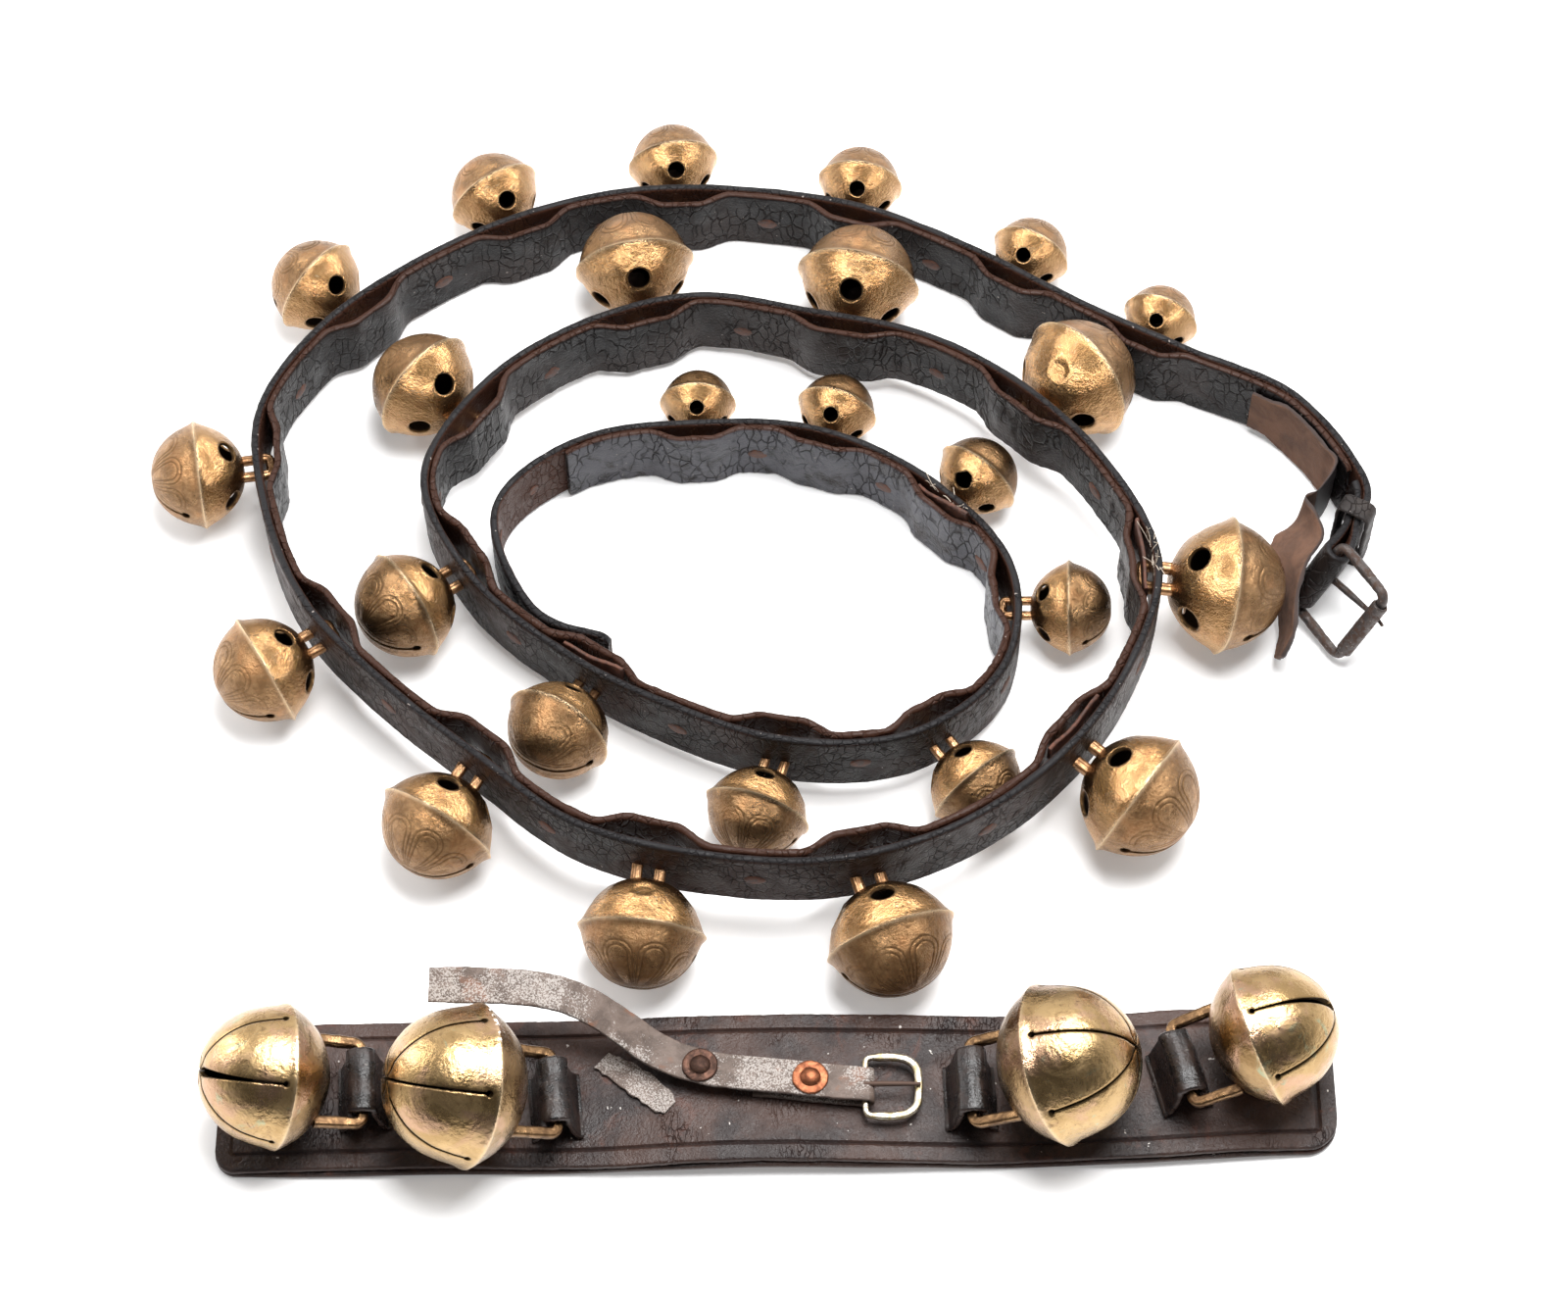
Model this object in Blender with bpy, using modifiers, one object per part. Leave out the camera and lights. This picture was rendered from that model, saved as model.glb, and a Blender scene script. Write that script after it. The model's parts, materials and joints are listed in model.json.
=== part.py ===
"""Two old harness bell straps as one set, in metres with +Z up.

The long strap carries twenty-five graduated petal bells. It stands on edge, coiled in a loose
spiral, with a roller buckle at its outer end and a plain tip at its inner end. The short strap
lies flat in front of the coil with four large multi-throat bells, a thin strap and a D buckle.
The origin is under the middle of the set, on the surface it lies on.
"""

import math

import bmesh
import bpy
import numpy as np
from mathutils import Matrix, Vector

GAP = 0.0003
UP = Vector((0.0, 0.0, 1.0))

# Long strap: two plies of harness leather, standing on edge.
STRAP_HALF_WIDTH = 0.0165
OUTER_PLY = 0.0034
LINING_PLY = 0.0030
LINING_START = 0.052
LINING_END = 2.102
STRAP_LENGTH = 2.2170
LONGEST_FACET = 0.024
TIP_HOLE_RADIUS = 0.0024

# The middle of the long strap, between its plies, from the buckle bar inwards to the tip.
LONG_ROUTE = (
    (0.2180, 0.0205, 0.0235), (0.2310, 0.0400, 0.0190), (0.2360, 0.0610, 0.0172),
    (0.2110, 0.1010, 0.0168), (0.1670, 0.1240, 0.0168), (0.1230, 0.1480, 0.0170),
    (0.0800, 0.1750, 0.0168), (0.0350, 0.1965, 0.0168), (-0.0140, 0.2060, 0.0168),
    (-0.0640, 0.2060, 0.0168), (-0.1110, 0.1930, 0.0170), (-0.1550, 0.1680, 0.0180),
    (-0.1920, 0.1350, 0.0190), (-0.2150, 0.0920, 0.0205), (-0.2090, 0.0430, 0.0240),
    (-0.1900, -0.0030, 0.0275), (-0.1570, -0.0400, 0.0290), (-0.1190, -0.0730, 0.0305),
    (-0.0800, -0.1040, 0.0330), (-0.0330, -0.1180, 0.0340), (0.0170, -0.1200, 0.0330),
    (0.0650, -0.1060, 0.0335), (0.1050, -0.0770, 0.0345), (0.1340, -0.0370, 0.0350),
    (0.1480, 0.0110, 0.0340), (0.1300, 0.0570, 0.0330), (0.0980, 0.0960, 0.0305),
    (0.0580, 0.1245, 0.0260), (0.0110, 0.1395, 0.0215), (-0.0380, 0.1490, 0.0195),
    (-0.0850, 0.1340, 0.0200), (-0.1230, 0.1020, 0.0235), (-0.1450, 0.0580, 0.0240),
    (-0.1250, 0.0130, 0.0220), (-0.0880, -0.0200, 0.0200), (-0.0460, -0.0460, 0.0230),
    (0.0010, -0.0640, 0.0260), (0.0500, -0.0610, 0.0265), (0.0860, -0.0280, 0.0205),
    (0.0900, 0.0190, 0.0170), (0.0600, 0.0580, 0.0170), (0.0160, 0.0830, 0.0168),
    (-0.0330, 0.0870, 0.0168), (-0.0830, 0.0790, 0.0168), (-0.1160, 0.0470, 0.0168),
    (-0.1000, 0.0010, 0.0168), (-0.0690, -0.0130, 0.0168),
)

# Petal bells, graduated from both ends of the row to the middle one.
BELL_COUNT = 25
LARGEST_BELL = 0.057
BELL_SEGMENTS = 10
BELL_ROCK = math.radians(6.0)
SHANK_STANDOFF = 0.0045
CROWN_HALF = 0.0011
# Each bell's distance along the strap, and the angle in degrees that it is turned from square.
BELL_LAYOUT = (
    (0.160, 7), (0.225, 8), (0.300, 8), (0.375, 8), (0.445, 8), (0.525, 8), (0.612, 4),
    (0.703, -7), (0.790, 8), (0.873, 8), (0.957, 8), (1.058, 4), (1.146, -8), (1.240, -3),
    (1.328, 2), (1.415, -8), (1.505, -8), (1.582, 3), (1.656, 5), (1.740, -8), (1.804, 6),
    (1.880, -8), (1.932, 6), (1.992, 0), (2.045, -4),
)
# Half-profile of a petal bell over its radius: distance from the axis, height towards the throat.
BELL_OUTSIDE = (
    (0.0, 0.86), (0.42, 0.74), (0.80, 0.42), (1.0, 0.0), (0.83, -0.36), (0.42, -0.72),
    (0.0, -0.80),
)
BELL_INSIDE = ((0.0, -0.70), (0.56, -0.48), (0.87, 0.0), (0.58, 0.50), (0.0, 0.74))

# Short strap: two wide plies lying flat, a little wavy.
SHORT_ROUTE = (
    (-0.2160, -0.2025, 0.0003), (-0.2120, -0.2025, 0.0003), (-0.2050, -0.2025, 0.0003),
    (-0.1700, -0.2020, 0.0006), (-0.1300, -0.2010, 0.0014), (-0.0850, -0.2005, 0.0008),
    (-0.0400, -0.2000, 0.0036), (0.0000, -0.1995, 0.0044), (0.0450, -0.1995, 0.0030),
    (0.0850, -0.1990, 0.0006), (0.1300, -0.1975, 0.0024), (0.1750, -0.1950, 0.0020),
    (0.2000, -0.1935, 0.0006), (0.2070, -0.1930, 0.0003), (0.2110, -0.1930, 0.0003),
)
SHORT_HALF_WIDTH = 0.0310
SHORT_PLY = 0.0028
# Each large bell: radius, its bar's position along and across, the direction it points in and
# how far its slits are turned about that, in degrees.
LARGE_BELLS = (
    (0.0285, -0.1600, -0.2040, 184.0, 0.0), (0.0315, -0.0870, -0.2080, 186.0, 0.0),
    (0.0315, 0.0710, -0.2040, 2.0, 30.0), (0.0280, 0.1510, -0.1970, 14.0, 30.0),
)
LARGE_OUTSIDE = (
    (0.0, 0.93), (0.38, 0.82), (0.72, 0.52), (0.93, 0.12), (1.0, -0.16), (0.80, -0.46),
    (0.46, -0.72), (0.0, -0.80),
)
LARGE_INSIDE = ((0.0, -0.72), (0.62, -0.50), (0.89, -0.10), (0.84, 0.16), (0.60, 0.54), (0.0, 0.86))
LARGE_BELL_SEGMENTS = 12
LOOP_BAR = 0.0021
LOOP_HALF_WIDTH = 0.0185
LOOP_REACH = 0.0130
BAR_HEIGHT = 0.0160
KEEPER_HALF_WIDTH = 0.0130
KEEPER_LEATHER = 0.0024
PELLET_RADIUS = 0.0085

# Roller buckle at the outer end of the long strap.
BUCKLE_BAR_DIRECTION = (0.42, 0.22, 0.88)
BUCKLE_WINDOW_DIRECTION = (0.50, -0.845, -0.12)
BUCKLE_HALF_WIDTH = 0.0190
BUCKLE_LENGTH = 0.0290
BUCKLE_WIRE = 0.0021
ROLLER_RADIUS = 0.0034
TONGUE_WIRE = 0.0015
TURN_BACK = 0.0460
KEEPER_STATION = 0.0290

# Small D buckle and thin strap on top of the short strap.
THIN_HALF_WIDTH = 0.0070
THIN_LEATHER = 0.0018
D_BUCKLE_BAR = 0.0310
D_BUCKLE_Y = -0.2015
D_BUCKLE_LENGTH = 0.0205
D_BUCKLE_HALF_WIDTH = 0.0118
D_BUCKLE_WIRE = 0.0013
DARK_RIVET = (-0.0320, -0.1945)
BRIGHT_RIVET = (0.0100, -0.1995)

LEATHER_BLACK = ("black_leather", (0.035, 0.028, 0.026, 1.0), 0.5, 0.0)
LEATHER_BROWN = ("brown_leather", (0.110, 0.045, 0.028, 1.0), 0.7, 0.0)
LEATHER_PURPLE = ("purple_brown_leather", (0.060, 0.028, 0.024, 1.0), 0.5, 0.0)
LEATHER_GREY = ("grey_leather", (0.220, 0.190, 0.170, 1.0), 0.8, 0.0)
BRASS_WARM = ("warm_brass", (0.560, 0.330, 0.130, 1.0), 0.3, 1.0)
BRASS_LIGHT = ("light_brass", (0.620, 0.450, 0.190, 1.0), 0.28, 1.0)
IRON_RUSTY = ("rusty_iron", (0.110, 0.070, 0.055, 1.0), 0.6, 0.8)
NICKEL = ("worn_nickel", (0.520, 0.490, 0.420, 1.0), 0.35, 1.0)
COPPER = ("copper", (0.450, 0.170, 0.090, 1.0), 0.4, 1.0)


class Route:
    """A smooth curve through hand-placed points, read by the distance along it."""

    def __init__(self, points, steps=20):
        ends = [2 * np.array(points[0]) - np.array(points[1])]
        ends += [np.array(p) for p in points]
        ends += [2 * np.array(points[-1]) - np.array(points[-2])]
        dense = []
        for before, start, end, after in zip(ends, ends[1:], ends[2:], ends[3:]):
            for t in np.arange(steps) / steps:
                slope = (end - before) * t
                bend = (2 * before - 5 * start + 4 * end - after) * t**2
                twist = (3 * start - before - 3 * end + after) * t**3
                dense.append(start + 0.5 * (slope + bend + twist))
        dense.append(ends[-2])
        self.dense = np.array(dense)
        lengths = np.linalg.norm(np.diff(self.dense, axis=0), axis=1)
        self.along = np.concatenate([[0.0], np.cumsum(lengths)])
        self.length = float(self.along[-1])

    def point(self, distance):
        return Vector([np.interp(distance, self.along, self.dense[:, k]) for k in range(3)])

    def tangent(self, distance):
        ahead = self.point(min(distance + 0.004, self.length))
        behind = self.point(max(distance - 0.004, 0.0))
        return (ahead - behind).normalized()

    def level_tangent(self, distance):
        tangent = self.tangent(distance)
        return Vector((tangent.x, tangent.y, 0.0)).normalized()

    def outward(self, distance):
        """The level direction to the right of travel, which is the outside of the coil."""
        tangent = self.level_tangent(distance)
        return Vector((tangent.y, -tangent.x, 0.0))


def clear_scene():
    for obj in list(bpy.data.objects):
        bpy.data.objects.remove(obj, do_unlink=True)


def new_collection(name):
    collection = bpy.data.collections.new(name)
    bpy.context.scene.collection.children.link(collection)
    return collection


def finish_material(obj, finish):
    label, colour, roughness, metallic = finish
    material = bpy.data.materials.new(f"{obj.name}_{label}")
    material.use_nodes = True
    shader = material.node_tree.nodes["Principled BSDF"]
    shader.inputs["Base Color"].default_value = colour
    shader.inputs["Roughness"].default_value = roughness
    shader.inputs["Metallic"].default_value = metallic
    obj.data.materials.append(material)


def place(name, data, collection, finish, matrix=None):
    obj = bpy.data.objects.new(name, data)
    collection.objects.link(obj)
    if matrix is not None:
        obj.matrix_world = matrix
    if finish:
        finish_material(obj, finish)
    return obj


def cutter(name, data, matrix=None):
    obj = place(name, data, bpy.data.collections["cutters"], None, matrix)
    obj.hide_render = True
    obj.display_type = "WIRE"
    return obj


def boolean(obj, other, operation):
    modifier = obj.modifiers.new(operation.lower(), "BOOLEAN")
    modifier.solver = "EXACT"
    modifier.operation = operation
    modifier.object = other


def mesh_of(name, vertices, faces, smooth=False):
    mesh = bpy.data.meshes.new(name)
    mesh.from_pydata([tuple(v) for v in vertices], [], faces)
    shape = bmesh.new()
    shape.from_mesh(mesh)
    bmesh.ops.recalc_face_normals(shape, faces=shape.faces)
    shape.to_mesh(mesh)
    shape.free()
    for polygon in mesh.polygons:
        polygon.use_smooth = smooth
    return mesh


def prism(name, outline, low, high):
    """A solid with this outline in X and Y, from low to high in Z."""
    count = len(outline)
    vertices = [(x, y, low) for x, y in outline] + [(x, y, high) for x, y in outline]
    faces = [tuple(range(count)), tuple(range(count, 2 * count))]
    faces += [(k, (k + 1) % count, (k + 1) % count + count, k + count) for k in range(count)]
    return mesh_of(name, vertices, faces)


def loft(name, rings):
    """A solid through rings of equally many points, capped at both ends."""
    size = len(rings[0])
    vertices = [point for ring in rings for point in ring]
    faces = [tuple(range(size)), tuple(range(len(vertices) - size, len(vertices)))]
    for start in range(0, len(vertices) - size, size):
        for k in range(size):
            after = (k + 1) % size
            faces.append((start + k, start + after, start + after + size, start + k + size))
    return mesh_of(name, vertices, faces)


def ribbon_ring(centre, across, through, half_width, low, high):
    return [
        centre + through * low - across * half_width,
        centre + through * high - across * half_width,
        centre + through * high + across * half_width,
        centre + through * low + across * half_width,
    ]


def join_meshes(name, parts):
    """One mesh from (mesh, matrix) pairs that don't touch each other."""
    joined = bmesh.new()
    for mesh, matrix in parts:
        piece = mesh.copy()
        piece.transform(matrix)
        joined.from_mesh(piece)
        bpy.data.meshes.remove(piece)
    result = bpy.data.meshes.new(name)
    joined.to_mesh(result)
    joined.free()
    return result


def frame_matrix(origin, x_axis, y_axis, z_axis):
    columns = Matrix((x_axis, y_axis, z_axis)).transposed().to_4x4()
    return Matrix.Translation(origin) @ columns


def polygon_points(sides, radius, centre=(0.0, 0.0)):
    turns = [2 * math.pi * (k + 0.5) / sides for k in range(sides)]
    return [(centre[0] + radius * math.cos(a), centre[1] + radius * math.sin(a)) for a in turns]


def spun_profile(name, loops, segments, collection, finish, matrix):
    """A Screw solid from open profiles of (distance from the axis, height)."""
    vertices = []
    edges = []
    for loop in loops:
        start = len(vertices)
        vertices += [(r, 0.0, z) for r, z in loop]
        edges += [(start + k, start + k + 1) for k in range(len(loop) - 1)]
    mesh = bpy.data.meshes.new(name)
    mesh.from_pydata(vertices, edges, [])
    obj = place(name, mesh, collection, finish, matrix)
    screw = obj.modifiers.new("spin", "SCREW")
    screw.axis = "Z"
    screw.steps = segments
    screw.render_steps = segments
    screw.use_merge_vertices = True
    screw.merge_threshold = 0.00001
    screw.use_smooth_shade = True
    return obj


def wire(name, points, radius, collection, finish, matrix, closed=False, sides=1):
    """A round bar along points, as a bevelled curve with filled caps."""
    curve = bpy.data.curves.new(name, "CURVE")
    curve.dimensions = "3D"
    curve.bevel_depth = radius
    curve.bevel_resolution = sides
    curve.use_fill_caps = not closed
    spline = curve.splines.new("POLY")
    spline.points.add(len(points) - 1)
    for target, point in zip(spline.points, points):
        target.co = (*point, 1.0)
    spline.use_cyclic_u = closed
    return place(name, curve, collection, finish, matrix)


def bell_radius(index):
    """Half the ridge diameter of petal bell 0 to 24."""
    steps = abs(index - (BELL_COUNT - 1) / 2)
    return (LARGEST_BELL - 0.00165 * steps - 0.00003 * steps**2) / 2


def crown_half_width(radius):
    return 0.26 * radius


def crown_depth(radius, turn):
    """How far the crown's middle stays behind the outer ply, so that it can rock there."""
    swing = math.sin(abs(math.radians(turn)) + BELL_ROCK)
    return CROWN_HALF + crown_half_width(radius) * swing + 0.0008


def bell_frame(route, index):
    """The bell's matrix: origin on its rocking axis, Z towards the throat, X along the strap."""
    distance, turn = BELL_LAYOUT[index]
    radius = bell_radius(index)
    outward = route.outward(distance)
    depth = crown_depth(radius, turn)
    pivot = route.point(distance) + outward * (GAP / 2 - depth)
    arm = bell_arm(index)
    rest_height = 0.985 * radius + GAP
    nod = math.asin((rest_height - pivot.z) / arm)
    heading = Matrix.Rotation(math.radians(turn), 3, "Z") @ outward
    axis = heading * math.cos(nod) + UP * math.sin(nod)
    along = heading.cross(UP).normalized() * -1.0
    return frame_matrix(pivot, along, axis.cross(along), axis)


def bell_arm(index):
    """From the rocking axis to the middle of the ball."""
    radius = bell_radius(index)
    depth = crown_depth(radius, BELL_LAYOUT[index][1])
    return depth + OUTER_PLY + SHANK_STANDOFF + 0.80 * radius


def shank_mesh(radius, arm):
    """Two flat legs side by side, joined by a crown behind the outer ply."""
    half = crown_half_width(radius)
    leg = 0.17 * radius
    foot = arm - 0.735 * radius
    outline = [
        (-half, -CROWN_HALF), (half, -CROWN_HALF), (half, foot), (half - leg, foot),
        (half - leg, CROWN_HALF), (leg - half, CROWN_HALF), (leg - half, foot), (-half, foot),
    ]
    mesh = prism("shank", outline, -0.055 * radius, 0.055 * radius)
    mesh.transform(Matrix.Rotation(math.pi / 2, 4, "X"))
    return mesh


def slit_mesh(radius, arm):
    """Cuts the throat: a level slit with a wider keyhole at each end, near the ridge."""
    thin = 0.045 * radius
    wide = 0.10 * radius
    inner = 0.74 * radius
    outer = 1.05 * radius
    outline = [
        (-outer, -wide), (-inner, -wide), (-inner, -thin), (inner, -thin), (inner, -wide),
        (outer, -wide), (outer, wide), (inner, wide), (inner, thin), (-inner, thin),
        (-inner, wide), (-outer, wide),
    ]
    return prism("slit", outline, arm + 0.16 * radius, arm + 1.1 * radius)


def bell_cutter(name, radius, arm, matrix):
    """The throat slit and the four round holes of the shank half."""
    hole = prism("hole", polygon_points(6, 0.20 * radius), 0.50 * radius, 1.15 * radius)
    middle = Matrix.Translation((0.0, 0.0, arm))
    parts = [(slit_mesh(radius, arm), Matrix.Identity(4))]
    for quarter in range(4):
        lean = Matrix.Rotation(math.radians(130.0), 4, "Y")
        spin = Matrix.Rotation(quarter * math.pi / 2, 4, "Z")
        parts.append((hole, middle @ spin @ lean))
    return cutter(name, join_meshes(name, parts), matrix)


def petal_bell(route, index, collection):
    radius = bell_radius(index)
    arm = bell_arm(index)
    matrix = bell_frame(route, index)
    name = f"bell_{index + 1:02d}"
    loops = []
    for profile in (BELL_OUTSIDE, BELL_INSIDE):
        loops.append([(r * radius, arm + z * radius) for r, z in profile])
    bell = spun_profile(name, loops, BELL_SEGMENTS, collection, BRASS_WARM, matrix)
    boolean(bell, cutter(f"{name}_shank", shank_mesh(radius, arm), matrix), "UNION")
    boolean(bell, bell_cutter(f"{name}_openings", radius, arm, matrix), "DIFFERENCE")
    return bell


def bulge(index, distance):
    """How far bell index pushes the lining inwards at this distance along the strap."""
    station, turn = BELL_LAYOUT[index]
    radius = bell_radius(index)
    flat, reach = bulge_span(radius)
    depth = 2 * crown_depth(radius, turn) - 0.0008 + GAP
    beyond = (abs(distance - station) - flat) / reach
    if beyond >= 1.0:
        return 0.0
    return depth * 0.5 * (1.0 + math.cos(math.pi * max(beyond, 0.0)))


def bulge_span(radius):
    """Half the flat part of a bulge, and the run from there back to the outer ply."""
    return crown_half_width(radius) + 0.0015, 0.25 * radius + 0.0105


def strap_stations(start, end):
    """Stations shared by both plies, so that their facets lie side by side."""
    marks = {TURN_BACK, LINING_START, LINING_END, STRAP_LENGTH}
    fixed = set(marks)
    for index in range(BELL_COUNT):
        station = BELL_LAYOUT[index][0]
        flat, reach = bulge_span(bell_radius(index))
        for offset in (flat, flat + reach):
            marks |= {round(station - offset, 5), round(station + offset, 5)}
    kept = []
    for mark in sorted(m for m in marks if TURN_BACK <= m <= STRAP_LENGTH):
        if kept and mark - kept[-1] < 0.003:
            if mark not in fixed:
                continue
            kept.pop()
        kept.append(mark)
    filled = [kept[0]]
    for mark in kept[1:]:
        last = filled[-1]
        pieces = math.ceil((mark - last) / LONGEST_FACET)
        filled += [last + (mark - last) * (k + 1) / pieces for k in range(pieces)]
    return [mark for mark in filled if start - 1e-6 <= mark <= end + 1e-6]


def buckle_axes():
    bar = Vector(BUCKLE_BAR_DIRECTION).normalized()
    window = Vector(BUCKLE_WINDOW_DIRECTION)
    window = (window - bar * window.dot(bar)).normalized()
    return window, bar.cross(window), bar


def strap_across(route, distance):
    """Straight up along the strap, leaning over to the buckle bar at its outer end."""
    lean = max(0.0, 1.0 - distance / 0.030)
    lean = lean * lean * (3.0 - 2.0 * lean)
    return UP.lerp(buckle_axes()[2], lean).normalized()


def leg_offset(distance):
    """How far each leg of the folded end stands off the middle, down to the bar's radius."""
    spread = max(0.0, 1.0 - distance / 0.022)
    return GAP / 2 + (BUCKLE_WIRE + 0.0005 - GAP / 2) * spread


def fold_rings(route):
    """From the turned-back end, round the buckle bar and out to where the outer ply starts."""
    rings = []
    half = STRAP_HALF_WIDTH - 0.0010
    for distance in (TURN_BACK, 0.036, 0.026, 0.018, 0.010, 0.004):
        across = strap_across(route, distance)
        inward = route.tangent(distance).cross(across).normalized() * -1.0
        low = leg_offset(distance)
        centre = route.point(distance)
        rings.append(ribbon_ring(centre, across, inward, half, low, low + OUTER_PLY))
    bar = route.point(0.0)
    across = strap_across(route, 0.0)
    inward = route.tangent(0.0).cross(across).normalized() * -1.0
    tangent = across.cross(inward) * -1.0
    low = leg_offset(0.0)
    for degrees in (0, 45, 90, 135, 180):
        angle = math.radians(degrees)
        through = inward * math.cos(angle) - tangent * math.sin(angle)
        rings.append(ribbon_ring(bar, across, through, half, low, low + OUTER_PLY))
    for distance in (0.004, 0.010, 0.018, 0.026, 0.036, TURN_BACK - GAP):
        across = strap_across(route, distance)
        outward = route.tangent(distance).cross(across).normalized()
        low = leg_offset(distance)
        centre = route.point(distance)
        rings.append(ribbon_ring(centre, across, outward, half, low, low + OUTER_PLY))
    return rings


def outer_ply_rings(route):
    """Along the outside of the coil, from the fold to the tip."""
    rings = []
    for distance in strap_stations(TURN_BACK, STRAP_LENGTH) + [STRAP_LENGTH + 0.006]:
        left = STRAP_LENGTH + 0.006 - distance
        half = STRAP_HALF_WIDTH * min(1.0, 0.55 + 0.45 * left / 0.006)
        ring = ribbon_ring(
            route.point(distance), UP, route.outward(distance), half, GAP / 2,
            GAP / 2 + OUTER_PLY,
        )
        rings.append(ring)
    return rings


def shank_slots(route):
    """One slot through the outer ply for each bell's two legs."""
    parts = []
    for index in range(BELL_COUNT):
        radius = bell_radius(index)
        half = crown_half_width(radius) + 0.0013
        tall = 0.055 * radius + 0.0005
        outline = [(-half, -tall), (half, -tall), (half, tall), (-half, tall)]
        depth = crown_depth(radius, BELL_LAYOUT[index][1])
        slot = prism("slot", outline, depth - 0.003, depth + OUTER_PLY + 0.003)
        parts.append((slot, bell_frame(route, index)))
    return parts


def tip_holes(route):
    parts = []
    for number in range(4):
        distance = STRAP_LENGTH - 0.022 - 0.026 * number
        outward = route.outward(distance)
        along = route.level_tangent(distance)
        hole = prism("tip_hole", polygon_points(6, TIP_HOLE_RADIUS), -0.004, 0.008)
        parts.append((hole, frame_matrix(route.point(distance), along, outward.cross(along), outward)))
    return parts


def tongue_slot(route):
    """Through the fold at the buckle bar, so that the tongue can turn."""
    outline = [(-0.008, -0.0048), (0.0095, -0.0048), (0.0095, 0.0048), (-0.008, 0.0048)]
    slot = prism("tongue_slot", outline, -0.010, 0.010)
    across = strap_across(route, 0.0)
    outward = route.tangent(0.0).cross(across).normalized()
    tangent = across.cross(outward)
    return [(slot, frame_matrix(route.point(0.0), tangent, across, outward))]


def outer_ply(route, collection):
    mesh = loft("long_strap_outer_ply", outer_ply_rings(route))
    ply = place("long_strap_outer_ply", mesh, collection, LEATHER_BROWN)
    holes = join_meshes("outer_ply_openings", shank_slots(route) + tip_holes(route))
    boolean(ply, cutter("outer_ply_openings", holes), "DIFFERENCE")


def buckle_fold(route, collection):
    """The end of the outer ply, folded round the buckle bar, with the tongue's slot in it."""
    mesh = loft("buckle_fold", fold_rings(route))
    fold = place("buckle_fold", mesh, collection, LEATHER_BROWN)
    slot = join_meshes("buckle_fold_slot", tongue_slot(route))
    boolean(fold, cutter("buckle_fold_slot", slot), "DIFFERENCE")


def lining_ply(route, collection):
    rings = []
    for distance in strap_stations(LINING_START, LINING_END):
        push = max(bulge(index, distance) for index in range(BELL_COUNT))
        low = GAP / 2 + push
        inward = route.outward(distance) * -1.0
        centre = route.point(distance)
        ring = ribbon_ring(centre, UP, inward, STRAP_HALF_WIDTH, low, low + LINING_PLY)
        rings.append(ring)
    place("long_strap_lining_ply", loft("long_strap_lining_ply", rings), collection, LEATHER_BLACK)


def buckle_end_flap(route, collection):
    """The torn old turn-back: flat on the lining, then a loose twisted tongue of leather."""
    rings = []
    low = GAP / 2 + LINING_PLY + 2 * GAP
    for distance in reversed(strap_stations(0.060, 0.110)):
        half = STRAP_HALF_WIDTH - (0.003 if distance > 0.1 else 0.0008)
        inward = route.outward(distance) * -1.0
        centre = route.point(distance)
        rings.append(ribbon_ring(centre, UP, inward, half, low, low + 0.0022))
    loose = (
        ((0.2195, 0.0560, 0.0180), (0.00, 0.00, 1.00), (-0.80, -0.60, 0.0), 0.0150),
        ((0.2125, 0.0530, 0.0180), (0.05, -0.05, 1.00), (-0.45, -0.88, 0.0), 0.0145),
        ((0.2115, 0.0465, 0.0200), (0.45, -0.20, 0.85), (-0.85, 0.10, 0.45), 0.0135),
        ((0.2105, 0.0380, 0.0220), (0.68, -0.30, 0.65), (-0.70, 0.05, 0.70), 0.0130),
        ((0.2055, 0.0275, 0.0225), (0.50, -0.48, 0.70), (-0.70, -0.10, 0.70), 0.0125),
        ((0.2050, 0.0130, 0.0190), (0.20, -0.45, 0.86), (-0.90, -0.10, 0.30), 0.0120),
        ((0.2045, -0.0010, 0.0160), (0.12, -0.45, 0.88), (-0.96, 0.10, 0.25), 0.0115),
        ((0.2010, -0.0120, 0.0120), (0.10, -0.40, 0.90), (-0.92, 0.30, 0.22), 0.0070),
    )
    for centre, across, through, half in loose:
        across = Vector(across).normalized()
        through = Vector(through)
        through = (through - across * through.dot(across)).normalized()
        rings.append(ribbon_ring(Vector(centre), across, through, half, -0.0011, 0.0011))
    place("buckle_end_flap", loft("buckle_end_flap", rings), collection, LEATHER_BROWN)


def strap_keeper(route, collection):
    """A leather band round the folded end, free to slide along it."""
    distance = KEEPER_STATION
    along = route.level_tangent(distance)
    outward = route.outward(distance)
    inner = (GAP / 2 + OUTER_PLY + 0.0018, STRAP_HALF_WIDTH + 0.0003)
    outer = (inner[0] + 0.0022, inner[1] + 0.0018)
    corners = ((-1, -1), (1, -1), (1, 1), (-1, 1))
    vertices = []
    for height in (-0.0045, 0.0045):
        for size in (outer, inner):
            vertices += [(x * size[0], y * size[1], height) for x, y in corners]
    faces = []
    for k in range(4):
        after = (k + 1) % 4
        faces.append((k, after, after + 8, k + 8))
        faces.append((k + 4, k + 12, after + 12, after + 4))
        faces.append((k, k + 4, after + 4, after))
        faces.append((k + 8, after + 8, after + 12, k + 12))
    mesh = mesh_of("strap_keeper_loop", vertices, faces)
    centre = route.point(distance)
    centre.z = outer[1] + GAP
    matrix = frame_matrix(centre, outward, UP, outward.cross(UP))
    place("strap_keeper_loop", mesh, collection, LEATHER_BLACK, matrix)


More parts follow.
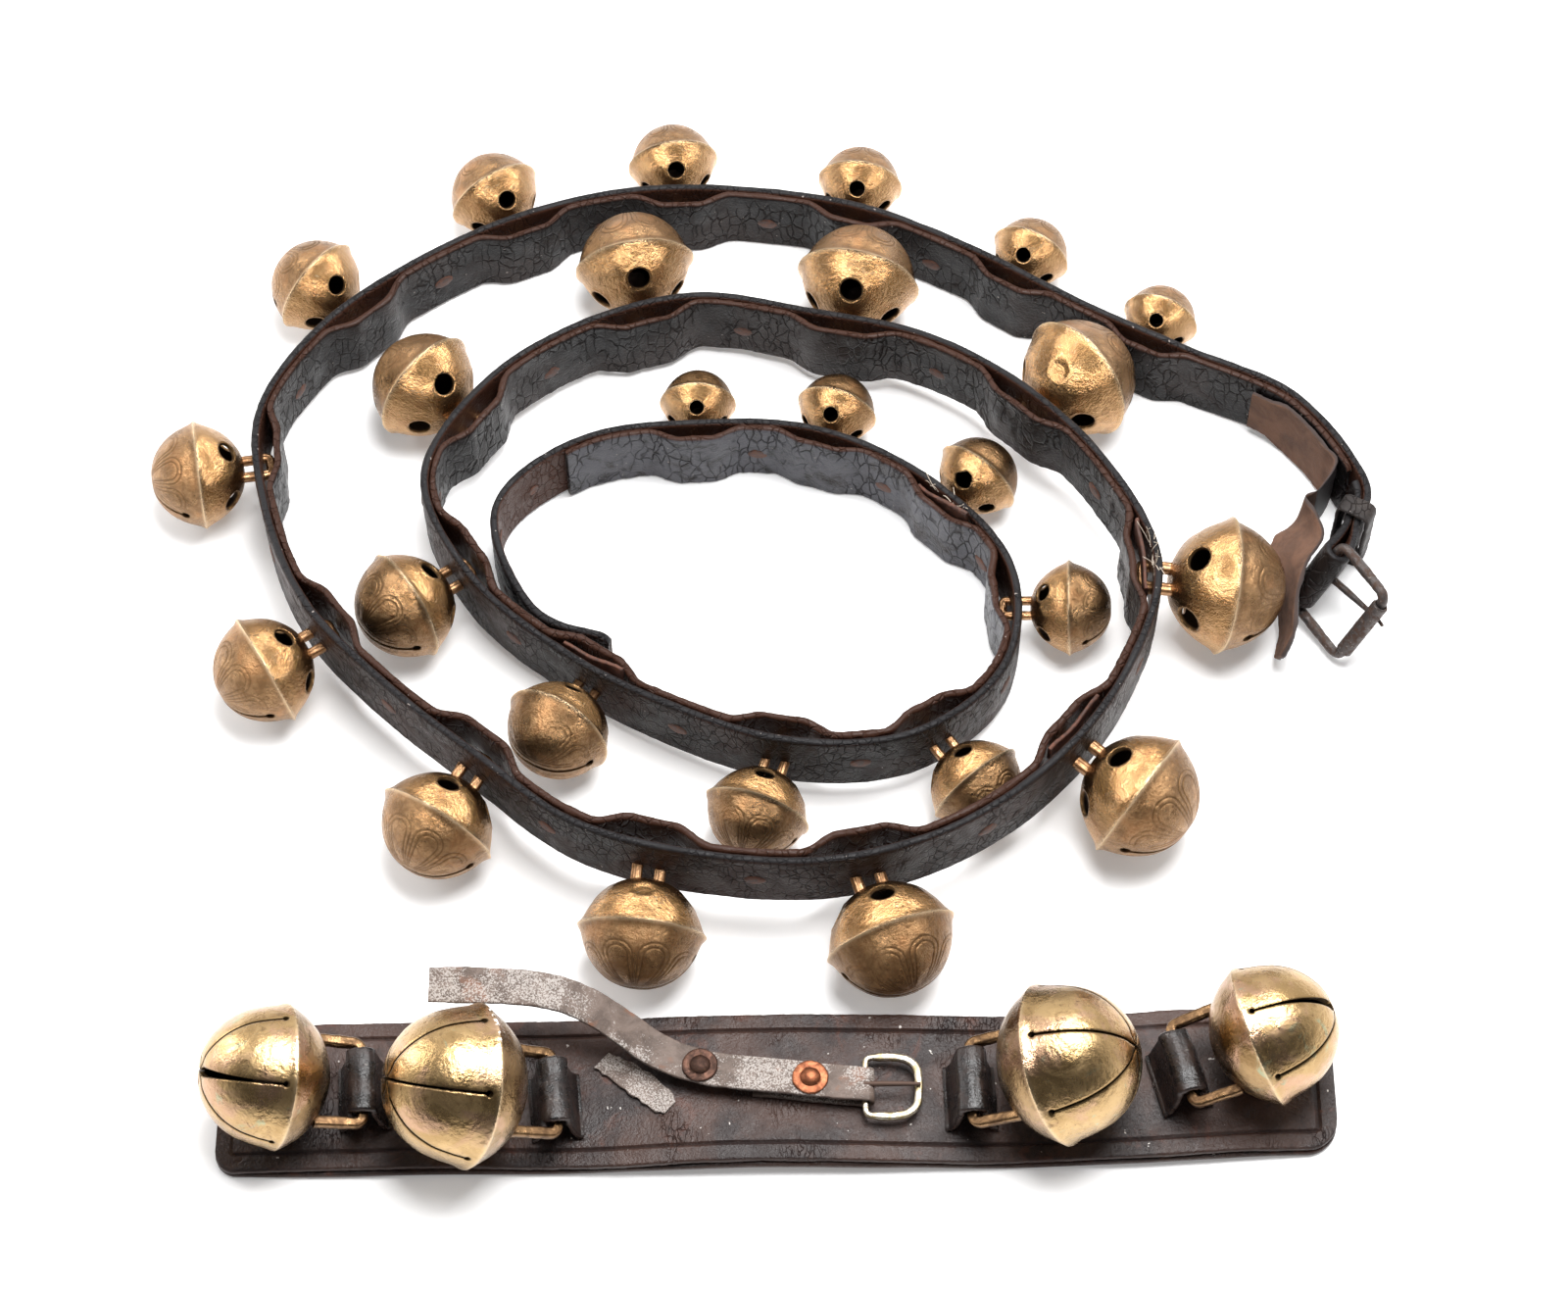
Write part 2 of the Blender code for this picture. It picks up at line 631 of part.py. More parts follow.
def roller_buckle(route, collection):
    window, side, bar = buckle_axes()
    matrix = frame_matrix(route.point(0.0), window, side, bar)
    half = BUCKLE_HALF_WIDTH
    far = BUCKLE_LENGTH
    corner = 0.0035
    points = [
        (0.0, 0.0, -half + corner), (corner * 0.3, 0.0, -half + corner * 0.3),
        (corner, 0.0, -half), (far - corner, 0.0, -half),
        (far - corner * 0.3, 0.0, -half + corner * 0.3), (far, 0.0, -half + corner),
        (far, 0.0, half - corner), (far - corner * 0.3, 0.0, half - corner * 0.3),
        (far - corner, 0.0, half), (corner, 0.0, half),
        (corner * 0.3, 0.0, half - corner * 0.3), (0.0, 0.0, half - corner),
    ]
    wire("roller_buckle_frame", points, BUCKLE_WIRE, collection, IRON_RUSTY, matrix, True)
    roller_matrix = matrix @ Matrix.Translation((far, 0.0, 0.0))
    inner = BUCKLE_WIRE + 0.0004
    reach = half - corner - 0.0010
    ring = [(inner, -reach), (inner, reach), (ROLLER_RADIUS, reach), (ROLLER_RADIUS, -reach)]
    ring.append(ring[0])
    spun_profile("roller_sleeve", [ring], 10, collection, IRON_RUSTY, roller_matrix)
    hook = BUCKLE_WIRE + 0.0004 + TONGUE_WIRE
    over = ROLLER_RADIUS + 0.0004 + TONGUE_WIRE
    points = [(hook * math.cos(a), hook * math.sin(a), 0.0) for a in tongue_turn()]
    points += [(far * 0.5, hook + 0.0010, 0.0022), (far, over, 0.0046)]
    points += [(far + 0.0045, over - 0.0008, 0.0052)]
    wire("roller_buckle_tongue", points, TONGUE_WIRE, collection, IRON_RUSTY, matrix)


def tongue_turn():
    """Angles of the tongue's hook round its bar, open on the side away from the window."""
    return [math.radians(d) for d in (330, 285, 240, 195, 150, 110, 80)]


def short_rings(route, low, high, inset):
    rings = []
    marks = [0.0, 0.004, 0.012]
    marks += list(np.linspace(0.034, route.length - 0.034, 20))
    marks += [route.length - 0.012, route.length - 0.004, route.length]
    for distance in marks:
        left = min(distance, route.length - distance)
        half = (SHORT_HALF_WIDTH - inset) * min(1.0, 0.78 + 0.22 * math.sqrt(left / 0.012))
        tangent = route.tangent(distance)
        through = Vector((-tangent.z, 0.0, tangent.x)).normalized()
        across = Vector((0.0, 1.0, 0.0))
        rings.append(ribbon_ring(route.point(distance), across, through, half, low, high))
    return rings


def short_top(route, x):
    """Height of the short strap's upper face at this place along it."""
    heights = [route.point(d) for d in np.linspace(0.0, route.length, 200)]
    nearest = min(heights, key=lambda p: abs(p.x - x))
    return nearest.z + 2 * SHORT_PLY + GAP


def rivet_holes():
    parts = []
    for x, y in (DARK_RIVET, BRIGHT_RIVET):
        hole = prism("rivet_hole", polygon_points(8, 0.0026), -0.01, 0.03)
        parts.append((hole, Matrix.Translation((x, y, 0.0))))
    return join_meshes("rivet_holes", parts)


def short_strap(route, collection):
    base = loft("short_strap_base_ply", short_rings(route, 0.0, SHORT_PLY, 0.0))
    lower = place("short_strap_base_ply", base, collection, LEATHER_PURPLE)
    low = SHORT_PLY + GAP
    top = loft("short_strap_top_ply", short_rings(route, low, low + SHORT_PLY, 0.0006))
    upper = place("short_strap_top_ply", top, collection, LEATHER_PURPLE)
    holes = cutter("short_strap_rivet_holes", rivet_holes())
    boolean(lower, holes, "DIFFERENCE")
    boolean(upper, holes, "DIFFERENCE")


def large_bell_frame(route, number):
    """Origin on the loop's bar, Z towards the throat, X level along the bar."""
    radius, x, y, heading, _ = LARGE_BELLS[number]
    level = Vector((math.cos(math.radians(heading)), math.sin(math.radians(heading)), 0.0))
    height = short_top(route, x) + BAR_HEIGHT
    under = [x + level.x * large_arm(radius) + k * radius / 3 for k in (-2, -1, 0, 1, 2)]
    rest_height = max(short_top(route, place_x) for place_x in under) + 0.985 * radius + 0.0006
    nod = math.asin((rest_height - height) / large_arm(radius))
    axis = level * math.cos(nod) + UP * math.sin(nod)
    along = UP.cross(level) * -1.0
    return frame_matrix(Vector((x, y, height)), along, axis.cross(along), axis)


def large_arm(radius):
    return LOOP_REACH + 0.80 * radius


def loop_mesh(radius):
    """A square-barred loop, cast in one with the bell."""
    half = LOOP_HALF_WIDTH
    bar = LOOP_BAR
    foot = large_arm(radius) - 0.57 * radius
    outline = [
        (-half, -bar), (half, -bar), (half, foot), (half - 2 * bar, foot),
        (half - 2 * bar, bar), (2 * bar - half, bar), (2 * bar - half, foot), (-half, foot),
    ]
    mesh = prism("loop", outline, -bar, bar)
    mesh.transform(Matrix.Rotation(math.pi / 2, 4, "X"))
    return mesh


def throat_star(name, radius, turn, matrix):
    """Six slits that meet at the throat's pole."""
    arm = large_arm(radius)
    outline = []
    for ray in range(6):
        middle = math.radians(60.0 * ray + turn)
        for side, reach in ((-0.020, 0.90), (0.020, 0.90)):
            across = side * radius
            out = reach * radius
            x = out * math.cos(middle) - across * math.sin(middle)
            y = out * math.sin(middle) + across * math.cos(middle)
            outline.append((x, y))
        notch = middle + math.radians(30.0)
        outline.append((0.04 * radius * math.cos(notch), 0.04 * radius * math.sin(notch)))
    return cutter(name, prism(name, outline, arm + 0.14 * radius, arm + 1.1 * radius), matrix)


def large_bell(route, number, collection):
    radius = LARGE_BELLS[number][0]
    arm = large_arm(radius)
    matrix = large_bell_frame(route, number)
    name = f"large_bell_{number + 1}"
    loops = []
    for profile in (LARGE_OUTSIDE, LARGE_INSIDE):
        loops.append([(r * radius, arm + z * radius) for r, z in profile])
    bell = spun_profile(name, loops, LARGE_BELL_SEGMENTS, collection, BRASS_LIGHT, matrix)
    boolean(bell, cutter(f"{name}_loop", loop_mesh(radius), matrix), "UNION")
    throat = throat_star(f"{name}_throat", radius, LARGE_BELLS[number][4], matrix)
    boolean(bell, throat, "DIFFERENCE")


def large_bell_keeper(route, number, collection):
    """A leather arch on the short strap, over the bar of the bell's loop."""
    matrix = large_bell_frame(route, number)
    bar = matrix.translation
    along = matrix.to_3x3() @ Vector((1.0, 0.0, 0.0))
    base = -BAR_HEIGHT + 0.0012
    clear = LOOP_BAR * 1.42 + 0.0006
    skin = KEEPER_LEATHER
    outline = [
        (-clear - 2.2 * skin, base), (-clear - skin * 0.4, base), (-clear, clear), (clear, clear),
        (clear + skin * 0.4, base), (clear + 2.2 * skin, base), (clear + skin, clear + skin),
        (-clear - skin, clear + skin),
    ]
    name = f"large_bell_keeper_{number + 1}"
    mesh = prism(name, outline, -KEEPER_HALF_WIDTH, KEEPER_HALF_WIDTH)
    side = UP.cross(along) * -1.0
    place(name, mesh, collection, LEATHER_BLACK, frame_matrix(bar, side, UP, side.cross(UP)))


def pellet(route, number, collection):
    """The loose iron ball, lying at the bottom of its bell."""
    radius = LARGE_BELLS[number][0]
    matrix = large_bell_frame(route, number)
    centre = matrix @ Vector((0.0, 0.0, large_arm(radius)))
    axis = matrix.to_3x3() @ Vector((0.0, 0.0, 1.0))
    centre -= UP * (0.80 * radius - PELLET_RADIUS - 0.0006) - axis * 0.02 * radius
    size = PELLET_RADIUS
    steps = [math.radians(22.5 * k) for k in range(9)]
    profile = [(size * math.sin(a), size * math.cos(a)) for a in steps]
    place_at = Matrix.Translation(centre)
    name = f"large_bell_pellet_{number + 1}"
    spun_profile(name, [profile], 10, collection, IRON_RUSTY, place_at)


def rivet(name, x, y, head, foot, collection, finish):
    """A burr, a domed head on it, and the shank down through the leather."""
    profile = [
        (0.0, head + 0.0023), (0.0026, head + 0.0020), (0.0038, head + 0.0010),
        (0.0068, head + 0.0009), (0.0070, head), (0.0020, head), (0.0020, foot), (0.0, foot),
    ]
    place_at = Matrix.Translation((x, y, 0.0))
    spun_profile(name, [profile], 12, collection, finish, place_at)


def thin_strap_path(bar_height):
    """The middle of the thin strap from its free end, over the two rivets, to the fold."""
    return Route((
        (-0.1350, -0.1690, 0.0360), (-0.1150, -0.1695, 0.0365), (-0.0950, -0.1705, 0.0355),
        (-0.0800, -0.1730, 0.0320), (-0.0650, -0.1790, 0.0250), (-0.0520, -0.1860, 0.0180),
        (-0.0400, -0.1920, bar_height + 0.0030), (-0.0240, -0.1960, bar_height + 0.0027),
        (0.0000, -0.1985, bar_height + 0.0027), (0.0180, -0.2005, bar_height + 0.0027),
    ))


def thin_strap_rings(bar_height):
    rings = []
    path = thin_strap_path(bar_height)
    for part in range(19):
        distance = path.length * part / 18
        tangent = path.tangent(distance)
        level = Vector((tangent.x, tangent.y, 0.0)).normalized()
        roll = max(0.0, 0.30 * (1.0 - 2.2 * part / 18))
        across = Vector((-level.y, level.x, 0.0)) * math.cos(roll) + UP * math.sin(roll)
        through = tangent.cross(across).normalized()
        half = THIN_HALF_WIDTH - (0.0006 if part == 0 else 0.0)
        rings.append(
            ribbon_ring(path.point(distance), across, through, half, -THIN_LEATHER / 2,
                        THIN_LEATHER / 2)
        )
    return rings


def thin_fold_rings(bar_height):
    """From the end of the thin strap, round the D buckle's bar and back underneath."""
    path = thin_strap_path(bar_height)
    tangent = path.tangent(path.length)
    across = Vector((-tangent.y, tangent.x, 0.0)).normalized()
    through = tangent.cross(across).normalized()
    start = path.point(path.length) + tangent * GAP
    half = THIN_HALF_WIDTH
    rings = [ribbon_ring(start, across, through, half, -THIN_LEATHER / 2, THIN_LEATHER / 2)]
    bar = Vector((D_BUCKLE_BAR, D_BUCKLE_Y, bar_height))
    across = Vector((0.0, 1.0, 0.0))
    low = D_BUCKLE_WIRE + 0.0004
    for degrees in (90, 60, 30, 0, -30, -60, -90):
        angle = math.radians(degrees)
        through = Vector((math.cos(angle), 0.0, math.sin(angle)))
        rings.append(ribbon_ring(bar, across, through, half, low, low + THIN_LEATHER))
    for x, y in ((0.0180, -0.2005), (0.0000, -0.1985), (-0.0120, -0.1975)):
        centre = Vector((x, y, bar_height))
        down = UP * -1.0
        rings.append(ribbon_ring(centre, across, down, half, low, low + THIN_LEATHER))
    return rings


def thin_strap_bar_height(route):
    """The D buckle's bar, just clear of the highest leather under it."""
    top = max(short_top(route, x) for x in (-0.02, 0.0, 0.02, D_BUCKLE_BAR, 0.05))
    return top + GAP + THIN_LEATHER + D_BUCKLE_WIRE + 0.0007


def thin_strap(route, collection):
    height = thin_strap_bar_height(route)
    mesh = loft("thin_strap", thin_strap_rings(height))
    strap = place("thin_strap", mesh, collection, LEATHER_GREY)
    boolean(strap, cutter("thin_strap_rivet_holes", rivet_holes()), "DIFFERENCE")
    mesh = loft("thin_strap_fold", thin_fold_rings(height))
    fold = place("thin_strap_fold", mesh, collection, LEATHER_GREY)
    boolean(fold, cutter("thin_strap_fold_rivet_holes", rivet_holes()), "DIFFERENCE")
    outline = [(-0.005, -0.0028), (0.006, -0.0028), (0.006, 0.0028), (-0.005, 0.0028)]
    slot = prism("thin_strap_tongue_slot", outline, -0.006, 0.006)
    where = Matrix.Translation((D_BUCKLE_BAR, D_BUCKLE_Y, height))
    boolean(fold, cutter("thin_strap_tongue_slot", slot, where), "DIFFERENCE")
    head = height + 0.0027 + THIN_LEATHER / 2 + 0.0006
    dark_foot = short_top(route, DARK_RIVET[0]) - 2 * SHORT_PLY
    bright_foot = short_top(route, BRIGHT_RIVET[0]) - 2 * SHORT_PLY
    rivet("rivet_dark", *DARK_RIVET, head, dark_foot, collection, IRON_RUSTY)
    rivet("rivet_copper", *BRIGHT_RIVET, head, bright_foot, collection, COPPER)


def d_buckle(route, collection):
    height = thin_strap_bar_height(route)
    matrix = Matrix.Translation((D_BUCKLE_BAR, D_BUCKLE_Y, height))
    half = D_BUCKLE_HALF_WIDTH
    far = D_BUCKLE_LENGTH
    points = [
        (0.0, -half, 0.0), (far * 0.45, -half - 0.0006, 0.0), (far * 0.72, -half * 0.88, 0.0),
        (far * 0.92, -half * 0.55, 0.0), (far, 0.0, 0.0), (far * 0.92, half * 0.55, 0.0),
        (far * 0.72, half * 0.88, 0.0), (far * 0.45, half + 0.0006, 0.0), (0.0, half, 0.0),
    ]
    wire("d_buckle_frame", points, D_BUCKLE_WIRE, collection, NICKEL, matrix, True)
    hook = D_BUCKLE_WIRE + 0.0004 + 0.0008
    points = [(hook * math.cos(a), 0.0, hook * math.sin(a)) for a in tongue_turn()]
    points += [(far * 0.5, 0.0, hook + 0.0002), (far + 0.0005, 0.0, D_BUCKLE_WIRE + 0.0012)]
    wire("d_buckle_tongue", points, 0.0008, collection, IRON_RUSTY, matrix)


def centre_on_origin(objects):
    """Moves everything so that the origin is under the middle of the whole set."""
    bpy.context.view_layer.update()
    graph = bpy.context.evaluated_depsgraph_get()
    corners = []
    for obj in objects:
        evaluated = obj.evaluated_get(graph)
        mesh = evaluated.to_mesh()
        corners += [evaluated.matrix_world @ v.co for v in mesh.vertices]
        evaluated.to_mesh_clear()
    points = np.array(corners)
    low = points.min(axis=0)
    high = points.max(axis=0)
    shift = Matrix.Translation((-(low[0] + high[0]) / 2, -(low[1] + high[1]) / 2, -low[2]))
    for obj in bpy.data.objects:
        obj.matrix_world = shift @ obj.matrix_world


def build():
    clear_scene()
    parts = new_collection("sleigh_bells")
    new_collection("cutters").hide_render = True
    route = Route(LONG_ROUTE)
    outer_ply(route, parts)
    buckle_fold(route, parts)
    lining_ply(route, parts)
    buckle_end_flap(route, parts)
    strap_keeper(route, parts)
    roller_buckle(route, parts)
    for index in range(BELL_COUNT):
        petal_bell(route, index, parts)
    flat = Route(SHORT_ROUTE)
    short_strap(flat, parts)
    for number in range(len(LARGE_BELLS)):
        large_bell(flat, number, parts)
        large_bell_keeper(flat, number, parts)
        pellet(flat, number, parts)
    thin_strap(flat, parts)
    d_buckle(flat, parts)
    centre_on_origin(list(parts.objects))


build()
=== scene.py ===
"""The looks of two old harness bell straps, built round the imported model.

Lengths are in metres, in the frame's own axes. The layout below is measured from the middle of
the coil, and SHIFT carries it into the frame. A bell is built about the middle of its ridge, with
radius 1, Z towards its throat, X along the strap and Y up.
"""

import itertools
import json
import math

import bmesh
import bpy
import numpy as np
from mathutils import Matrix, Vector


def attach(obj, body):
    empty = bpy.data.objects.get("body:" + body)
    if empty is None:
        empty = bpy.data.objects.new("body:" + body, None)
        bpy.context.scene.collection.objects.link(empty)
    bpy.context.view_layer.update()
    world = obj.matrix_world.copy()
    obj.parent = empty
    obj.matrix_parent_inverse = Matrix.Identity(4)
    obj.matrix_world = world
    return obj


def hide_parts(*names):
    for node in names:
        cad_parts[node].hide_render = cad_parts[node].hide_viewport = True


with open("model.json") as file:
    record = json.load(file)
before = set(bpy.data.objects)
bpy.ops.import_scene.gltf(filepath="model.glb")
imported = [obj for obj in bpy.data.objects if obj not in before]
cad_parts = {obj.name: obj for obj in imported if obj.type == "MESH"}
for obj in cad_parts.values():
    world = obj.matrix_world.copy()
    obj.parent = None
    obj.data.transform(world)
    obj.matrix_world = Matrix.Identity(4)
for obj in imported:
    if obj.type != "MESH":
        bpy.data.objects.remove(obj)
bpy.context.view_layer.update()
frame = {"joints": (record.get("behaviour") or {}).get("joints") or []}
JOINTS = {joint["name"]: joint for joint in frame["joints"]}

UP = Vector((0.0, 0.0, 1.0))
GAP = 0.0003

# Of a bell's radius: how far its ridge and its shank's pole are from the middle of the ball.
RIDGE_REACH = 0.985
SHANK_POLE = 0.8
# The distance given where there is no opening or line near.
NONE_NEAR = 9.0
BELL_CREASE = 48.0

# The long strap, as in the CAD.
STRAP_HALF_WIDTH = 0.0165
OUTER_PLY = 0.0034
LINING_PLY = 0.003
LINING_START = 0.052
LINING_END = 2.102
STRAP_LENGTH = 2.217
TURN_BACK = 0.046
TIP_BEYOND = 0.0066
FIRST_TIP_HOLE = 0.022
TIP_HOLE_STEP = 0.026
TIP_HOLES = 4
LONG_ROUTE = (
    (0.218, 0.0205, 0.0235), (0.231, 0.04, 0.019), (0.236, 0.061, 0.0172),
    (0.211, 0.101, 0.0168), (0.167, 0.124, 0.0168), (0.123, 0.148, 0.017),
    (0.08, 0.175, 0.0168), (0.035, 0.1965, 0.0168), (-0.014, 0.206, 0.0168),
    (-0.064, 0.206, 0.0168), (-0.111, 0.193, 0.017), (-0.155, 0.168, 0.018),
    (-0.192, 0.135, 0.019), (-0.215, 0.092, 0.0205), (-0.209, 0.043, 0.024),
    (-0.19, -0.003, 0.0275), (-0.157, -0.04, 0.029), (-0.119, -0.073, 0.0305),
    (-0.08, -0.104, 0.033), (-0.033, -0.118, 0.034), (0.017, -0.12, 0.033),
    (0.065, -0.106, 0.0335), (0.105, -0.077, 0.0345), (0.134, -0.037, 0.035),
    (0.148, 0.011, 0.034), (0.13, 0.057, 0.033), (0.098, 0.096, 0.0305),
    (0.058, 0.1245, 0.026), (0.011, 0.1395, 0.0215), (-0.038, 0.149, 0.0195),
    (-0.085, 0.134, 0.02), (-0.123, 0.102, 0.0235), (-0.145, 0.058, 0.024),
    (-0.125, 0.013, 0.022), (-0.088, -0.02, 0.02), (-0.046, -0.046, 0.023),
    (0.001, -0.064, 0.026), (0.05, -0.061, 0.0265), (0.086, -0.028, 0.0205),
    (0.09, 0.019, 0.017), (0.06, 0.058, 0.017), (0.016, 0.083, 0.0168),
    (-0.033, 0.087, 0.0168), (-0.083, 0.079, 0.0168), (-0.116, 0.047, 0.0168),
    (-0.1, 0.001, 0.0168), (-0.069, -0.013, 0.0168),
)
BELL_COUNT = 25
LARGEST_BELL = 0.057
SHANK_STANDOFF = 0.0045
CROWN_HALF = 0.0011
CROWN_CLEAR = 0.0008
CROWN_REACH = 0.26
BELL_ROCK = math.radians(6.0)
# Each bell's distance along the strap, and the angle in degrees that it is turned from square.
BELL_LAYOUT = (
    (0.16, 7), (0.225, 8), (0.3, 8), (0.375, 8), (0.445, 8), (0.525, 8), (0.612, 4),
    (0.703, -7), (0.79, 8), (0.873, 8), (0.957, 8), (1.058, 4), (1.146, -8), (1.24, -3),
    (1.328, 2), (1.415, -8), (1.505, -8), (1.582, 3), (1.656, 5), (1.74, -8), (1.804, 6),
    (1.88, -8), (1.932, 6), (1.992, 0), (2.045, -4),
)
BLIND_BELLS = (9, 13)
RAGGED_BELL = 22

# The short strap and what is on it, as in the CAD.
SHORT_ROUTE = (
    (-0.216, -0.2025, 0.0003), (-0.212, -0.2025, 0.0003), (-0.205, -0.2025, 0.0003),
    (-0.17, -0.202, 0.0006), (-0.13, -0.201, 0.0014), (-0.085, -0.2005, 0.0008),
    (-0.04, -0.2, 0.0036), (0.0000, -0.1995, 0.0044), (0.045, -0.1995, 0.003),
    (0.085, -0.199, 0.0006), (0.13, -0.1975, 0.0024), (0.175, -0.195, 0.002),
    (0.2, -0.1935, 0.0006), (0.207, -0.193, 0.0003), (0.211, -0.193, 0.0003),
)
SHORT_HALF_WIDTH = 0.031
SHORT_PLY = 0.0028
BORDER_LINE = 0.0072
BORDER_FOLD = 0.006
LARGE_BELLS = (
    (0.0285, -0.16, -0.204, 184.0, 0.0), (0.0315, -0.087, -0.208, 186.0, 0.0),
    (0.0315, 0.071, -0.204, 2.0, 30.0), (0.028, 0.151, -0.197, 14.0, 30.0),
)
LOOP_BAR = 0.0021
LOOP_HALF_WIDTH = 0.0185
LOOP_REACH = 0.013
BAR_HEIGHT = 0.016
KEEPER_HALF_WIDTH = 0.013
KEEPER_LEATHER = 0.0024
PELLET_RADIUS = 0.0085

BUCKLE_BAR_DIRECTION = (0.42, 0.22, 0.88)
BUCKLE_WINDOW_DIRECTION = (0.5, -0.845, -0.12)
BUCKLE_HALF_WIDTH = 0.019
BUCKLE_LENGTH = 0.029
BUCKLE_WIRE = 0.0021
ROLLER_RADIUS = 0.0034
TONGUE_WIRE = 0.0015
KEEPER_STATION = 0.029

THIN_HALF_WIDTH = 0.007
THIN_LEATHER = 0.0018
D_BUCKLE_BAR = 0.031
D_BUCKLE_Y = -0.2015
D_BUCKLE_LENGTH = 0.0205
D_BUCKLE_HALF_WIDTH = 0.0118
D_BUCKLE_WIRE = 0.0013
DARK_RIVET = (-0.032, -0.1945)
BRIGHT_RIVET = (0.01, -0.1995)
THIN_LIFT = 0.0027


# ---------------------------------------------------------------- numbers and curves


def lattice(cells, seed):
    """A steady value from -1 to 1 for each whole-number cell."""
    mixed = seed * 374761393
    for axis, prime in enumerate((73856093, 19349663, 83492791)):
        mixed = mixed ^ (cells[..., axis] * prime)
    mixed = (mixed ^ (mixed >> 13)) * 1274126177
    mixed = mixed ^ (mixed >> 16)
    return (mixed & 0xFFFF) / 32767.5 - 1.0


def rough(points, size, seed=0):
    """Smooth noise from -1 to 1, with lumps of this size, one number or three."""
    cells = np.asarray(points) / np.asarray(size)
    low = np.floor(cells).astype(np.int64)
    part = cells - low
    part = part * part * (3 - 2 * part)
    total = 0.0
    for corner in np.ndindex(2, 2, 2):
        weight = np.prod(np.where(corner, part, 1 - part), axis=-1)
        total = total + weight * lattice(low + np.array(corner), seed)
    return total


def hump(distance, width):
    return np.exp(-((distance / width) ** 2))


def ease(value, low, high):
    """0 below low, 1 above high, smooth between them."""
    part = np.clip((np.asarray(value) - low) / (high - low), 0.0, 1.0)
    return part * part * (3 - 2 * part)


def smooth_rows(rows, count):
    """A Catmull-Rom curve through the rows of numbers, read at evenly spaced places."""
    rows = np.asarray(rows, float)
    ends = np.vstack([2 * rows[0] - rows[1], rows, 2 * rows[-1] - rows[-2]])
    place = np.linspace(0, len(rows) - 1, count)
    start = np.minimum(place.astype(int), len(rows) - 2)
    t = (place - start)[:, None]
    before, near, far, after = (ends[start + k] for k in range(4))
    slope = (far - before) * t
    bend = (2 * before - 5 * near + 4 * far - after) * t**2
    twist = (3 * near - before - 3 * far + after) * t**3
    return near + 0.5 * (slope + bend + twist)


def unit(vectors):
    vectors = np.asarray(vectors, float)
    return vectors / np.linalg.norm(vectors, axis=-1, keepdims=True)


def lengths_along(points):
    return np.concatenate([[0.0], np.cumsum(np.linalg.norm(np.diff(points, axis=0), axis=1))])


class Route:
    """A smooth curve through given points, read by the distance along it."""

    def __init__(self, points, steps=20):
        self.dense = smooth_rows(points, (len(points) - 1) * steps + 1)
        self.along = lengths_along(self.dense)
        self.length = float(self.along[-1])

    def points(self, distances):
        columns = [np.interp(distances, self.along, self.dense[:, k]) for k in range(3)]
        return np.stack(columns, axis=-1)

    def tangents(self, distances):
        distances = np.asarray(distances)
        ahead = self.points(np.minimum(distances + 0.004, self.length))
        behind = self.points(np.maximum(distances - 0.004, 0.0))
        return unit(ahead - behind)

    def outwards(self, distances):
        """The level direction to the right of travel, which is the outside of the coil."""
        tangents = self.tangents(distances)
        flat = np.stack([tangents[..., 1], -tangents[..., 0], 0 * tangents[..., 0]], axis=-1)
        return unit(flat)

    def point(self, distance):
        return Vector(self.points(distance))

    def outward(self, distance):
        return Vector(self.outwards(distance))


def frame_matrix(origin, x_axis, y_axis, z_axis):
    columns = Matrix((x_axis, y_axis, z_axis)).transposed().to_4x4()
    return Matrix.Translation(origin) @ columns


# ---------------------------------------------------------------- where things are


def bell_radius(index):
    steps = abs(index - (BELL_COUNT - 1) / 2)
    return (LARGEST_BELL - 0.00165 * steps - 0.00003 * steps**2) / 2


def crown_depth(radius, turn):
    swing = math.sin(abs(math.radians(turn)) + BELL_ROCK)
    return CROWN_HALF + CROWN_REACH * radius * swing + CROWN_CLEAR


def bell_arm(index):
    """From the rocking axis to the middle of the ball."""
    radius = bell_radius(index)
    depth = crown_depth(radius, BELL_LAYOUT[index][1])
    return depth + OUTER_PLY + SHANK_STANDOFF + SHANK_POLE * radius


def bell_frame(route, index):
    """Origin on the rocking axis, Z towards the throat, X along the strap."""
    distance, turn = BELL_LAYOUT[index]
    radius = bell_radius(index)
    outward = route.outward(distance)
    pivot = route.point(distance) + outward * (GAP / 2 - crown_depth(radius, turn))
    nod = math.asin((RIDGE_REACH * radius + GAP - pivot.z) / bell_arm(index))
    heading = Matrix.Rotation(math.radians(turn), 3, "Z") @ outward
    axis = heading * math.cos(nod) + UP * math.sin(nod)
    along = heading.cross(UP).normalized() * -1.0
    return frame_matrix(pivot, along, axis.cross(along), axis)


def large_arm(radius):
    return LOOP_REACH + SHANK_POLE * radius


def short_top(x):
    """Height of the short strap's upper face at this place along it."""
    nearest = np.argmin(np.abs(SHORT.dense[:, 0] - x))
    return float(SHORT.dense[nearest, 2]) + 2 * SHORT_PLY + GAP


def large_bell_frame(number):
    """Origin on the loop's bar, Z towards the throat, X level along the bar."""
    radius, x, y, heading, _ = LARGE_BELLS[number]
    heading = math.radians(heading)
    level = Vector((math.cos(heading), math.sin(heading), 0.0))
    height = short_top(x) + BAR_HEIGHT
    under = [x + level.x * large_arm(radius) + k * radius / 3 for k in (-2, -1, 0, 1, 2)]
    rest_height = max(short_top(place) for place in under) + RIDGE_REACH * radius + 0.0006
    nod = math.asin((rest_height - height) / large_arm(radius))
    axis = level * math.cos(nod) + UP * math.sin(nod)
    along = UP.cross(level) * -1.0
    return frame_matrix(Vector((x, y, height)), along, axis.cross(along), axis)


def buckle_axes():
    bar = Vector(BUCKLE_BAR_DIRECTION).normalized()
    window = Vector(BUCKLE_WINDOW_DIRECTION)
    window = (window - bar * window.dot(bar)).normalized()
    return window, bar.cross(window), bar


